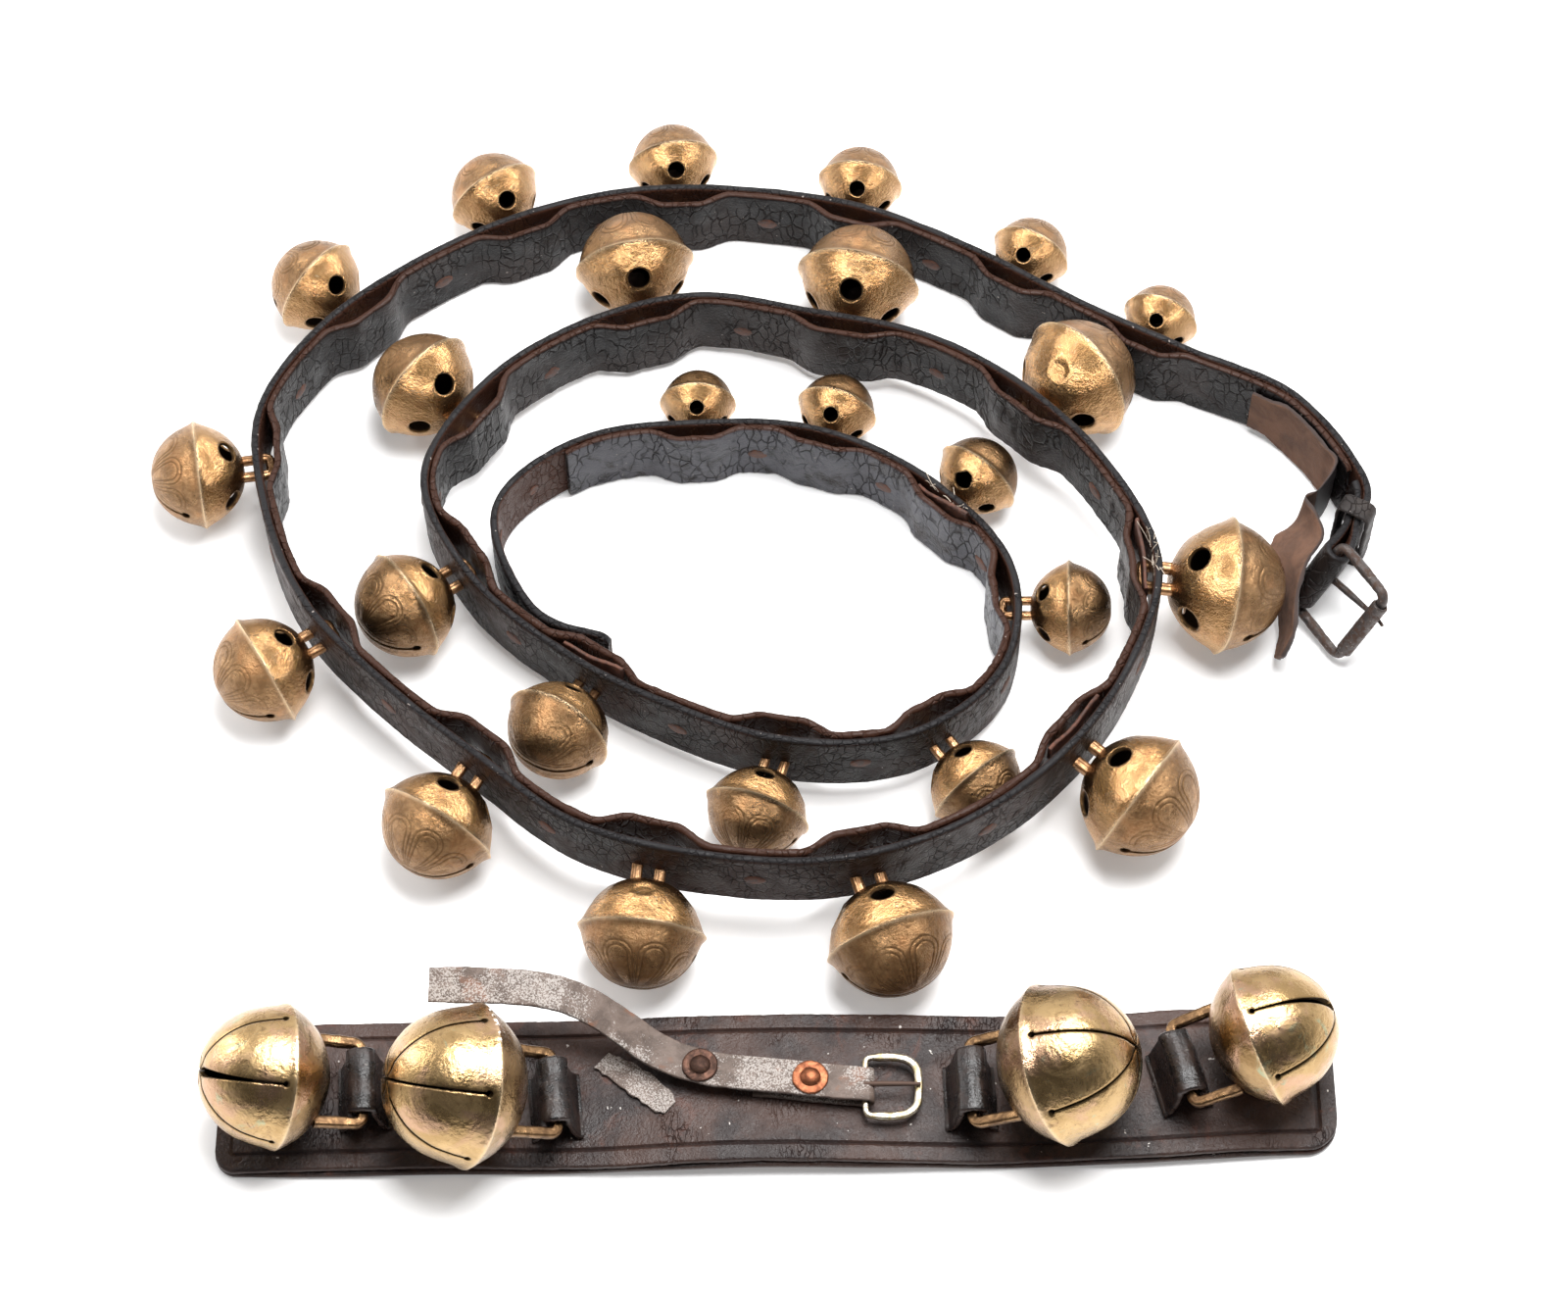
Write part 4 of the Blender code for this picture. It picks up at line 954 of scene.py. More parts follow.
def rusty_iron():
    made = Finish("rusty_iron")
    grain = made.vector("grain")
    cloud = made.noise(grain, 330.0, 6.0, 0.7, 0.5)
    rust = made.range(cloud, 0.44, 0.6)
    made.colour = made.mix(rust, (0.09, 0.078, 0.074), (0.06, 0.031, 0.02))
    bright = made.range(made.noise(grain, 700.0, 3.0, 0.6), 0.62, 0.72, 0.0, 0.7)
    made.lay(bright, (0.26, 0.235, 0.22))
    metallic = made.range(rust, 0.0, 1.0, 0.9, 0.25)
    roughness = made.range(rust, 0.0, 1.0, 0.36, 0.72)
    normal = made.bump(made.noise(grain, 1300.0, 5.0, 0.7), 0.0006, 0.7)
    return made.finish(roughness, normal, metallic)


def strap_leather(name, dark, warm, edge_colour, gloss, crack_scale, crack_stretch, crack_depth,
                  flesh=None, silver=None, silver_from=9.0):
    """Old harness leather. face is 1 on one side and -1 on the other, and edge is 1 on the
    edges. silver is the worn grey of cracked grain beyond a distance along the strap."""
    made = Finish(name, Specular_IOR_Level=0.15)
    grain, edge, face = made.vector("grain"), made.value("edge"), made.value("face")
    broad = made.noise(grain, 16.0, 4.0, 0.6, 0.5)
    cloud = made.noise(grain, 95.0, 5.0, 0.65, 0.7)
    fine = made.noise(grain, 900.0, 3.0, 0.6)
    made.colour = made.mix(made.range(broad, 0.42, 0.62), dark, warm)
    made.lay(made.range(cloud, 0.5, 0.75, 0.0, 0.55), warm)
    net = made.cracks(made.warped(grain, crack_stretch, 120.0, 0.004), crack_scale)
    crack = made.range(net, 0.0, 0.09, 1.0, 0.0)
    patchy = made.range(made.noise(grain, 40.0, 3.0, 0.6), 0.38, 0.55)
    crack = made.times(crack, patchy)
    if silver is not None:
        worn = made.range(made.value("along"), silver_from, silver_from + 0.05)
        worn = made.times(worn, made.range(cloud, 0.3, 0.55))
        worn = made.times(worn, made.range(face, 0.2, 0.6))
        made.lay(made.times(worn, 0.85), silver)
    made.lay(made.times(crack, 0.75), (0.01, 0.007, 0.006))
    scuff = made.range(made.noise(grain, 320.0, 5.0, 0.75), 0.6, 0.72, 0.0, 0.35)
    made.lay(scuff, (0.085, 0.062, 0.052))
    if flesh is not None:
        back = made.range(face, -0.6, -0.2, 1.0, 0.0)
        made.lay(back, flesh)
    made.lay(made.range(edge, 0.35, 0.9), edge_colour)
    white = made.range(made.noise(grain, 520.0, 1.0, 0.4), 0.775, 0.79, 0.0, 0.7)
    made.lay(white, (0.38, 0.33, 0.3))
    roughness = made.range(cloud, 0.3, 0.75, gloss, gloss + 0.28)
    roughness = made.plus(roughness, made.times(crack, 0.2))
    height = made.plus(made.times(fine, 0.5), made.times(cloud, 0.6))
    height = made.minus(height, made.times(crack, crack_depth))
    normal = made.bump(height, 0.0009, 0.75)
    return made.finish(roughness, normal)


# ---------------------------------------------------------------- the camera, light and floor


# The camera stands this far from the middle of the coil, and the lights at these places.
CAMERA_PLACE = (0.0, -0.803, 1.3908)
LENS = 90.0
KEY_PLACE = (0.2, 0.17, 1.4)
KEY_WATTS = 36.0
SIDE_PLACE = (-1.25, 0.45, 0.6)
SIDE_WATTS = 8.0
FLOOR_REACH = 6.0
FLOOR_GLOW = 0.22


def aimed(obj, place, target):
    obj.location = place
    obj.rotation_mode = "QUATERNION"
    obj.rotation_quaternion = (Vector(target) - Vector(place)).to_track_quat("-Z", "Y")


def area_light(name, place, target, size, power):
    data = bpy.data.lights.new(name, "AREA")
    data.shape = "RECTANGLE"
    data.size, data.size_y = size
    data.energy = power
    obj = bpy.data.objects.new(name, data)
    bpy.context.scene.collection.objects.link(obj)
    aimed(obj, place, target)


def studio_sky():
    """White all round, and dark behind and above the camera."""
    world = bpy.data.worlds.new("studio")
    world.use_nodes = True
    nodes, links = world.node_tree.nodes, world.node_tree.links
    places = nodes.new("ShaderNodeTexCoord")
    facing = nodes.new("ShaderNodeVectorMath")
    facing.operation = "DOT_PRODUCT"
    facing.inputs[1].default_value = (0.0, -0.72, 0.69)
    links.new(places.outputs["Generated"], facing.inputs[0])
    shade = nodes.new("ShaderNodeMapRange")
    shade.interpolation_type = "SMOOTHSTEP"
    for socket, value in zip(shade.inputs[1:5], (0.05, 0.8, 1.15, 0.12)):
        socket.default_value = value
    links.new(facing.outputs["Value"], shade.inputs[0])
    links.new(shade.outputs[0], nodes["Background"].inputs["Strength"])
    nodes["Background"].inputs["Color"].default_value = (1.0, 0.99, 0.98, 1.0)
    return world


def camera_and_light():
    scene = bpy.context.scene
    middle = SHIFT.copy()
    data = bpy.data.cameras.new("camera")
    data.sensor_width = 36.0
    data.lens = LENS
    camera = bpy.data.objects.new("camera", data)
    scene.collection.objects.link(camera)
    aimed(camera, middle + Vector(CAMERA_PLACE), middle)
    data.clip_start = 0.05
    data.clip_end = 50.0
    scene.camera = camera
    area_light("key", KEY_PLACE, (0.02, 0.0, 0.0), (0.8, 0.8), KEY_WATTS)
    area_light("side", SIDE_PLACE, (0.0, 0.0, 0.0), (0.5, 0.9), SIDE_WATTS)
    scene.world = studio_sky()
    scene.view_settings.view_transform = "Standard"
    floor_mesh = bpy.data.meshes.new("floor")
    sides = ((-1, -1), (1, -1), (1, 1), (-1, 1))
    corners = [(FLOOR_REACH * x, FLOOR_REACH * y, 0.0) for x, y in sides]
    floor_mesh.from_pydata(corners, [], [(0, 1, 2, 3)])
    floor = bpy.data.objects.new("floor", floor_mesh)
    scene.collection.objects.link(floor)
    made = Finish("floor_paint", Roughness=0.6)
    made.shader.inputs["Base Color"].default_value = (0.93, 0.93, 0.935, 1.0)
    made.shader.inputs["Emission Color"].default_value = (1.0, 1.0, 1.0, 1.0)
    made.shader.inputs["Emission Strength"].default_value = FLOOR_GLOW
    floor_mesh.materials.append(made.material)


# ---------------------------------------------------------------- the long strap


def strap_across(distances):
    """Straight up along the strap, leaning over to the buckle bar at its outer end."""
    lean = 1 - ease(distances, 0.0, 0.03)
    bar = np.array(buckle_axes()[2])
    return unit(np.outer(1 - lean, (0.0, 0.0, 1.0)) + np.outer(lean, bar))


def leg_offset(distances):
    spread = np.maximum(0.0, 1.0 - np.asarray(distances) / 0.022)
    return GAP / 2 + (BUCKLE_WIRE + 0.0005 - GAP / 2) * spread


def ply_section(half, thickness):
    return round_section(half, thickness / 2, thickness * 0.46, 22, 6)


def wrinkles(local, seed):
    """Creases across the strap, as old leather has where it bends."""
    wide = rough(local, (0.0022, 0.016, 0.02), seed)
    return wide + 0.6 * rough(local, (0.0011, 0.007, 0.01), seed + 1)


def outer_ply_path():
    """Middle, across and through directions and half width of the outer ply, from its turned-back
    end round the buckle bar and along the outside to the tip."""
    back = np.linspace(TURN_BACK, 0.0, 24)
    across = strap_across(back)
    inward = -unit(np.cross(LONG.tangents(back), across))
    lift = leg_offset(back) + OUTER_PLY / 2
    rows = [(LONG.points(back) + inward * lift[:, None], across, inward,
             np.full(24, STRAP_HALF_WIDTH - 0.001))]
    bar = LONG.points(0.0)
    across0, inward0 = across[-1], inward[-1]
    tangent = -np.cross(across0, inward0)
    angles = np.radians(np.arange(12, 180, 12))[:, None]
    through = inward0 * np.cos(angles) - tangent * np.sin(angles)
    rows.append((bar + through * lift[-1], np.repeat(across0[None], len(angles), 0), through,
                 np.full(len(angles), STRAP_HALF_WIDTH - 0.001)))
    out = np.linspace(0.038, STRAP_LENGTH + TIP_BEYOND, 1380)
    out = np.concatenate([np.linspace(0.0, 0.036, 18), out])
    across = strap_across(out)
    outward = unit(np.cross(LONG.tangents(out), across))
    outward = np.where((out > 0.04)[:, None], LONG.outwards(out), outward)
    lift = leg_offset(out) + OUTER_PLY / 2
    left = STRAP_LENGTH + TIP_BEYOND - out
    half = STRAP_HALF_WIDTH * np.minimum(1.0, 0.8 + 0.2 * np.sqrt(np.maximum(left, 0) / 0.004))
    half -= 0.001 * (1 - ease(out, 0.03, 0.046))
    rows.append((LONG.points(out) + outward * lift[:, None], across, outward, half))
    return [np.concatenate([row[k] for row in rows]) for k in range(4)]


def outer_ply():
    centres, across, through, half = outer_ply_path()
    section = ply_section(STRAP_HALF_WIDTH, OUTER_PLY)
    place = np.stack([lengths_along(centres), 0 * half, 0 * half], axis=-1)
    ripple = 0.0004 * rough(place, 0.05, 3)
    swell = np.stack([(half + ripple) / STRAP_HALF_WIDTH, np.ones(len(half))], axis=-1)

    def relief(local, edges):
        return 0.0001 * wrinkles(local, 11) * (1 - 0.6 * edges) + 0.00016 * rough(local, 0.009, 12)

    return sweep("long_strap_outer_ply", centres, across, through, section, swell=swell,
                 bump=relief)


def bulge(distances):
    """How far the shanks' crowns push the lining inwards."""
    total = np.zeros(len(distances))
    for index, (station, turn) in enumerate(BELL_LAYOUT):
        radius = bell_radius(index)
        flat, reach = CROWN_REACH * radius + 0.0015, 0.25 * radius + 0.0105
        depth = 2 * crown_depth(radius, turn) - CROWN_CLEAR + GAP
        beyond = np.clip((np.abs(distances - station) - flat) / reach, 0.0, 1.0)
        total = np.maximum(total, depth * 0.5 * (1.0 + np.cos(math.pi * beyond)))
    return total


def lining_ply():
    stations = np.arange(LINING_START, LINING_END, 0.0013)
    push = bulge(stations) + GAP / 2 + LINING_PLY / 2
    inward = -LONG.outwards(stations)
    centres = LONG.points(stations) + inward * push[:, None]
    tangents = unit(np.gradient(centres, axis=0))
    across = np.tile((0.0, 0.0, 1.0), (len(stations), 1))
    through = unit(np.cross(across, tangents))
    through *= np.sign((through * inward).sum(axis=1))[:, None]
    section = ply_section(STRAP_HALF_WIDTH, LINING_PLY)
    late = ease(stations, 0.85, 1.15)[:, None]
    from_end = np.minimum(stations - LINING_START, LINING_END - stations)
    ends = np.minimum(1.0, 0.9 + 0.1 * from_end / 0.002)
    place = np.stack([stations, 0 * stations, 0 * stations], axis=-1)
    ripple = 1 + 0.02 * rough(place, 0.035, 6)
    swell = np.stack([ends * ripple, np.ones(len(stations))], axis=-1)

    def relief(local, edges):
        depth = 0.00013 + 0.00012 * late
        worn = depth * wrinkles(local, 21) * (1 - 0.7 * edges)
        return worn + 0.00025 * rough(local, 0.01, 22)

    return sweep("long_strap_lining_ply", centres, across, through, section, swell=swell,
                 bump=relief, seed=1)


def between_bells():
    """Places along the strap halfway between one bell and the next."""
    stations = [station for station, _ in BELL_LAYOUT]
    return [(a + b) / 2 for a, b in zip(stations, stations[1:])]


def oval_stud(name, distance, side, seed):
    """The flush oval end of a leather lace through both plies: side 1 is the outside."""
    outward = LONG.outward(distance)
    depth = GAP / 2 + (OUTER_PLY if side > 0 else LINING_PLY)
    if side < 0:
        depth += float(bulge(np.array([distance]))[0])
    facing = outward * side
    along = UP.cross(facing)
    place = LONG.point(distance) + facing * (depth - 0.0004)
    place.z += 0.0016 * math.sin(seed * 2.1)
    profile = [(0.0, 0.001), (0.0018, 0.00095), (0.0031, 0.00078), (0.0038, 0.00045),
               (0.004, 0.0), (0.004, -0.0004), (0.0, -0.0004)]
    mesh = lathe(name, profile, 30, seed, 0.00016)
    spread = Matrix.Diagonal((1.12, 0.8, 1.0, 1.0))
    return mesh, frame_matrix(place, along, facing.cross(along), facing) @ spread


def joined(name, parts):
    """One mesh of several, each moved by its matrix."""
    shape = bmesh.new()
    for mesh, matrix in parts:
        mesh.transform(matrix)
        shape.from_mesh(mesh)
        bpy.data.meshes.remove(mesh)
    mesh = bpy.data.meshes.new(name)
    shape.to_mesh(mesh)
    shape.free()
    mesh.shade_smooth()
    mesh.set_sharp_from_angle(angle=math.radians(50.0))
    return mesh


def laces():
    parts = []
    for number, distance in enumerate(between_bells()):
        for side in (1, -1):
            parts.append(oval_stud("lace", distance, side, 3 * number + side))
    return joined("laces", parts)


def tip_hole_marks():
    """The rims of the holes near the tip, dark inside, on both sides of the ply."""
    parts = []
    for number in range(TIP_HOLES):
        distance = STRAP_LENGTH - FIRST_TIP_HOLE - TIP_HOLE_STEP * number
        outward = LONG.outward(distance)
        along = UP.cross(outward)
        for side, depth in ((1, GAP / 2 + OUTER_PLY), (-1, -GAP / 2)):
            facing = outward * side
            place = LONG.point(distance) + outward * depth
            profile = [(0.0, 0.00004), (0.0014, 0.00006), (0.0019, 0.00022), (0.0024, 0.0001),
                       (0.0026, -0.0002), (0.0, -0.0002)]
            mesh = lathe("hole", profile, 22, number, 0.0001)
            parts.append((mesh, frame_matrix(place, along, facing.cross(along), facing)))
    return joined("tip_holes", parts)


def key_strip(index):
    """The flat leather key that locks a bell's shank behind the outer ply."""
    station, _ = BELL_LAYOUT[index]
    radius = bell_radius(index)
    half = CROWN_REACH * radius
    rows = []
    for place in np.linspace(-half - 0.0085, half + 0.0085, 9):
        here = station + place
        push = float(bulge(np.array([here]))[0]) * 0.5 + GAP / 2
        middle = LONG.point(here) - LONG.outward(here) * push
        middle.z += STRAP_HALF_WIDTH - 0.0035 + 0.0035 * math.sin(place * 120 + index)
        rows.append((middle, (0.0, 0.0, 1.0), LONG.outward(here), 0.0042))
    return ribbon(f"key_{index + 1:02d}", rows, 0.0016, 40, seed=index,
                  bump=lambda local, edges: 0.0002 * rough(local, 0.0022, index))


def threads(index, count, reach):
    """Frayed ends of thread, standing out of the gap between the plies."""
    random = np.random.default_rng(500 + index)
    station, _ = BELL_LAYOUT[index]
    outward = LONG.outward(station)
    parts = []
    for number in range(count):
        here = station + random.uniform(-0.01, 0.01)
        start = np.array(LONG.point(here) + UP * (STRAP_HALF_WIDTH - 0.002))
        lean = np.array(outward) * random.uniform(-0.2, 1.0) + random.normal(0, 0.5, 3)
        lean[2] = abs(lean[2]) * 0.8 + 0.3
        curl = random.normal(0, 0.6, 3)
        t = np.linspace(0, 1, 9)[:, None]
        length = reach * random.uniform(0.5, 1.0)
        centres = start + unit(lean) * t * length + curl * t**2 * length * 0.5
        sides, ups = frames_along(centres, (0.3, 0.2, 0.9))
        mesh = sweep("thread", centres, sides, ups, round_bar(0.00016, 6), seed=number)
        parts.append((mesh, Matrix.Identity(4)))
    return joined(f"threads_{index + 1:02d}", parts)


def buckle_flap():
    """The torn old turn-back: flat on the lining, then a loose twisted tongue of leather."""
    rows = []
    for distance in np.linspace(0.11, 0.058, 7):
        inward = -LONG.outward(distance)
        half = STRAP_HALF_WIDTH - (0.004 if distance > 0.1 else 0.0008)
        middle = LONG.point(distance) + inward * (GAP / 2 + LINING_PLY + 2 * GAP + 0.0011)
        rows.append((middle, (0.0, 0.0, 1.0), inward, half))
    rows += [
        ((0.2195, 0.056, 0.018), (0.00, 0.00, 1.00), (-0.8, -0.6, 0.0), 0.015),
        ((0.2125, 0.053, 0.018), (0.05, -0.05, 1.00), (-0.45, -0.88, 0.0), 0.0145),
        ((0.2115, 0.0465, 0.02), (0.45, -0.2, 0.85), (-0.85, 0.1, 0.45), 0.0135),
        ((0.2105, 0.038, 0.022), (0.68, -0.3, 0.65), (-0.7, 0.05, 0.7), 0.013),
        ((0.2055, 0.0275, 0.0225), (0.5, -0.48, 0.7), (-0.7, -0.1, 0.7), 0.0128),
        ((0.205, 0.013, 0.019), (0.2, -0.45, 0.86), (-0.9, -0.1, 0.3), 0.0125),
        ((0.2045, -0.001, 0.016), (0.12, -0.45, 0.88), (-0.96, 0.1, 0.25), 0.012),
        ((0.2025, -0.008, 0.0135), (0.1, -0.42, 0.89), (-0.94, 0.2, 0.23), 0.0098),
        ((0.201, -0.012, 0.012), (0.1, -0.4, 0.9), (-0.92, 0.3, 0.22), 0.005),
    ]

    def fuzz(local, edges):
        return 0.00018 * rough(local, 0.0011, 31) + 0.00035 * rough(local, 0.006, 32)

    return ribbon("buckle_end_flap", rows, 0.0022, 170, fuzz, 3, 22)


def keeper_loop():
    distance = KEEPER_STATION
    outward = LONG.outward(distance)
    along = outward.cross(UP)
    deep, tall = 0.00645, STRAP_HALF_WIDTH + 0.0012
    corners = [(-deep, -tall, 0), (deep, -tall, 0), (deep, tall, 0), (-deep, tall, 0)]
    centres = bent_wire(corners, 0.003, 0.0012)
    section = round_section(0.0045, 0.0009, 0.0008, 8, 4)
    sides, ups = wire_frames(centres, (0.0, 0.0, 1.0), True)

    def creased(local, edges):
        return 0.00014 * rough(local, (0.0012, 0.006, 0.01), 41) + 0.0002 * rough(local, 0.004, 42)

    mesh = sweep("strap_keeper_loop", centres, ups, sides, section, closed=True, bump=creased,
                 seed=5)
    centre = LONG.point(distance)
    centre.z = STRAP_HALF_WIDTH + 0.0003 + 0.0018 + GAP
    return mesh, frame_matrix(centre, outward, UP, along)


def tongue_curl(hook):
    """The tongue's hook round its bar, from its end over to where it leaves the bar."""
    turns = [math.radians(degrees) for degrees in (330, 285, 240, 195, 150, 110, 80)]
    return [(hook * math.cos(turn), hook * math.sin(turn)) for turn in turns]


def roller_buckle():
    """Frame, roller and tongue, all in the buckle's own space: window, side and bar."""
    half, far = BUCKLE_HALF_WIDTH, BUCKLE_LENGTH
    corners = [(0, 0, -half), (far, 0, -half), (far, 0, half), (0, 0, half)]
    centres = bent_wire(corners, 0.005, 0.0009)
    at_side = np.abs(centres[:, 2]) > half - 0.0012
    middle = hump(centres[:, 0] - far / 2, 0.008)
    swell = 0.96 + 0.1 * at_side * middle + 0.05 * rough(centres, 0.006, 61)
    frame_mesh = wire("roller_buckle_frame", centres, round_bar(BUCKLE_WIRE, 18), (0, 1, 0), True,
                      swell, forged(0.0016, 0.00012, 62), 6)
    inner, reach = BUCKLE_WIRE + 0.0004, half - 0.0035 - 0.001
    profile = [(inner, -reach), (inner, reach)]
    profile += [(ROLLER_RADIUS - 0.0003, reach), (ROLLER_RADIUS, reach - 0.0004)]
    profile += [(ROLLER_RADIUS, z) for z in np.linspace(reach - 0.001, 0.001 - reach, 24)]
    profile += [(ROLLER_RADIUS, 0.0004 - reach), (ROLLER_RADIUS - 0.0003, -reach)]
    roller_mesh = lathe("roller_sleeve", profile[::-1], 30, 7, 0.00012, 0.0005)
    hook = BUCKLE_WIRE + 0.0004 + TONGUE_WIRE
    over = ROLLER_RADIUS + 0.0004 + TONGUE_WIRE
    points = [(x, y, 0.0) for x, y in tongue_curl(hook)]
    points += [(far * 0.5, hook + 0.001, 0.0022), (far, over, 0.0046)]
    points += [(far + 0.0045, over - 0.0008, 0.0052)]
    centres = smooth_rows(points, 70)
    share = np.linspace(0, 1, 70)
    thin = 0.8 - 0.55 * ease(share, 0.72, 1.0) + 0.2 * ease(share, 0.0, 0.08)
    sides, ups = frames_along(centres, (0.0, 0.0, 1.0))
    tongue_mesh = sweep("roller_buckle_tongue", centres, sides, ups, round_bar(TONGUE_WIRE, 14),
                        swell=thin, bump=forged(0.0014, 0.0001, 63), seed=8)
    return frame_mesh, roller_mesh, tongue_mesh


# ---------------------------------------------------------------- the short strap


def short_outline(distances, length, right, left):
    """Half the strap's width at each place, with round corners of these sizes at its ends."""
    half = np.full(len(distances), SHORT_HALF_WIDTH)
    for from_end, corner in ((distances, left), (length - distances, right)):
        inside = np.clip(corner - from_end, 0, corner)
        half -= corner - np.sqrt(np.maximum(corner**2 - inside**2, 1e-9))
    return half


def short_ply(name, low, inset, seed, border):
    step = 0.0013
    ends = np.array([0.0, 0.0004, 0.001, 0.0018, 0.0028, 0.004])
    middle = np.arange(0.0054, SHORT.length - 0.0054, step)
    distances = np.concatenate([ends, middle, (SHORT.length - ends)[::-1]])
    half = short_outline(distances, SHORT.length, 0.012, 0.008) - inset
    tangents = SHORT.tangents(distances)
    through = unit(np.stack([-tangents[:, 2], 0 * half, tangents[:, 0]], axis=-1))
    across = np.tile((0.0, 1.0, 0.0), (len(distances), 1))
    place = np.stack([distances, 0 * half, 0 * half + seed], axis=-1)
    half = half + 0.0004 * rough(place, 0.03, seed)
    centres = SHORT.points(distances) + through * (low + SHORT_PLY / 2)
    centres[:, 1] += 0.0005 * rough(place, 0.05, seed + 1)
    section = round_section(SHORT_HALF_WIDTH, SHORT_PLY / 2, SHORT_PLY * 0.42, 58, 5)
    swell = np.stack([half / SHORT_HALF_WIDTH, np.ones(len(half))], axis=-1)

    def inwards(local):
        """Distance from the nearest edge or end of the strap."""
        from_end = np.minimum(local[..., 0], SHORT.length - local[..., 0])
        return np.minimum(half[:, None] - np.abs(local[..., 1]), from_end)

    def relief(local, edges):
        creased = 0.00009 * rough(local, (0.0016, 0.011, 0.02), seed + 2)
        creased += 0.00006 * rough(local, (0.0009, 0.004, 0.01), seed + 3)
        lumpy = 0.00022 * rough(local, 0.013, seed + 4)
        if not border:
            return (creased + lumpy) * (1 - edges)
        line = hump(inwards(local) - BORDER_LINE, 0.00055)
        fold = hump(inwards(local) - BORDER_FOLD, 0.0014)
        return creased + lumpy + (0.00016 * fold - 0.00042 * line) * (1 - edges)

    def line_value(local, edges):
        return hump(inwards(local) - BORDER_LINE, 0.0005) * (1 - edges) * border

    return sweep(name, centres, across, through, section, swell=swell, bump=relief, seed=seed,
                 values={"line": line_value})


LARGE_THROAT = (
    (0.0, 0.93), (0.24, 0.9), (0.47, 0.8), (0.67, 0.635), (0.815, 0.42), (0.895, 0.19),
    (0.93, 0.03), (0.955, -0.07), (1.0, -0.16),
)
LARGE_SHANK = (
    (1.0, -0.16), (0.955, -0.205), (0.9, -0.285), (0.8, -0.43), (0.64, -0.585),
    (0.44, -0.7), (0.22, -0.775), (0.0, -0.8),
)
LARGE_INSIDE = (
    (0.0, 0.86), (0.44, 0.745), (0.7, 0.52), (0.83, 0.22), (0.865, -0.05), (0.84, -0.2),
    (0.62, -0.5), (0.3, -0.68), (0.0, -0.72),
)
RIDGE_POLAR = math.atan2(1.0, -0.16)
END_HOLE_POLAR = math.radians(92.0)

large_reach = radial_curve(LARGE_THROAT, LARGE_SHANK)
large_inner = radial_curve(LARGE_INSIDE)


def large_surface(directions):
    return directions * large_reach(polar_of(directions))[:, None]


def folded(points, turn):
    """Each point as if every slit lay along X: how far along, across and up it is, and which
    slit it is near."""
    out = np.hypot(points[:, 0], points[:, 1])
    angle = np.degrees(np.arctan2(points[:, 1], points[:, 0])) - turn
    ray = np.round(angle / 60.0)
    lean = np.radians(angle - 60.0 * ray)
    place = np.stack([out * np.cos(lean), out * np.sin(lean), points[:, 2]], axis=-1)
    return place, np.mod(ray, 6)


def throat_star(turn, sprung):
    """Distance from six slits that meet at the throat's pole and end in small round holes."""

    def opening(directions):
        points = large_surface(directions)
        place, ray = folded(points, turn)
        width = 0.015 + 0.002 * np.sin(ray * 2.3 + turn)
        wide = 0.062 * ease(place[:, 0], 0.0, 0.16) * (1 - np.clip(place[:, 0] / 0.9, 0, 1))
        width = width + np.where(ray == sprung, wide, 0.0)
        slit = np.abs(place[:, 1]) - width
        slit = np.where(polar_of(directions) < END_HOLE_POLAR, slit, NONE_NEAR)
        reach = float(large_reach(END_HOLE_POLAR))
        end = np.array((reach * math.sin(END_HOLE_POLAR), 0.0, reach * math.cos(END_HOLE_POLAR)))
        hole = np.linalg.norm(place - end, axis=1) - 0.04
        return np.minimum(slit, hole)

    return opening


def large_topology(turn, sprung):
    opening = throat_star(turn, sprung)

    def near(directions):
        ridge = np.abs(polar_of(directions) - RIDGE_POLAR) + 0.024
        return np.minimum(np.abs(opening(directions)), ridge)

    directions, faces = fine_ball(28, near, (0.1, 0.05, 0.022))
    return (*opened(directions, faces, opening), opening)


def large_shape(number, topology):
    directions, faces, rims, opening = topology
    seed = 300 + 17 * number
    polar = polar_of(directions)
    ridge = np.abs(polar - RIDGE_POLAR)
    smooth = large_surface(directions)
    reach = large_reach(polar) - 0.014 * np.sqrt(hump(ridge, 0.02))
    gap = opening(directions)
    relief = 0.007 * rough(smooth, 0.8, seed) + 0.0012 * rough(smooth, 0.2, seed + 1)
    relief += 0.014 * hump(ridge, 0.06) * rough(smooth, 0.5, seed + 2)
    relief -= 0.006 * hump(np.maximum(gap, 0), 0.014)
    relief -= 0.01 * hump(np.abs(polar - 0.15), 0.1) * hump(np.maximum(gap, 0), 0.1)
    outside = directions * (reach + relief)[:, None]
    inner = directions * (large_inner(polar) + 0.6 * relief)[:, None]
    solid, all_faces = shell(directions, faces, rims, outside, inner)
    place = unit(smooth @ np.array(large_bell_frame(number).to_3x3()).T)
    upper = place @ unit(np.array((0.0, 0.41, 0.91)))
    painted = number == 1
    paint = hump(ridge - 0.004, 0.026) * ease(upper, 0.74, 0.9) * painted
    dots = ease(polar - RIDGE_POLAR, 0.05, 0.12) * ease(upper, 0.6, 0.8) * painted
    values = {
        "spot": np.concatenate([smooth, smooth * 0.9]) + 5.3 * (number + 1),
        "groove": outer_only(hump(np.maximum(gap, 0), 0.01)),
        "throat": np.tile(ease(RIDGE_POLAR - polar, -0.01, 0.01), 2),
        # Where the painted highlight along the ridge goes.
        "ridge_highlight": outer_only(hump(ridge, 0.026)),
        "rim": outer_only(hump(np.maximum(gap, 0), 0.05)),
        "inside": 1.0 - outer_only(np.ones(len(smooth))),
        "paint": outer_only(paint),
        "dots": outer_only(dots),
    }
    return make_mesh(f"large_bell_{number + 1}", solid, all_faces, values, BELL_CREASE)


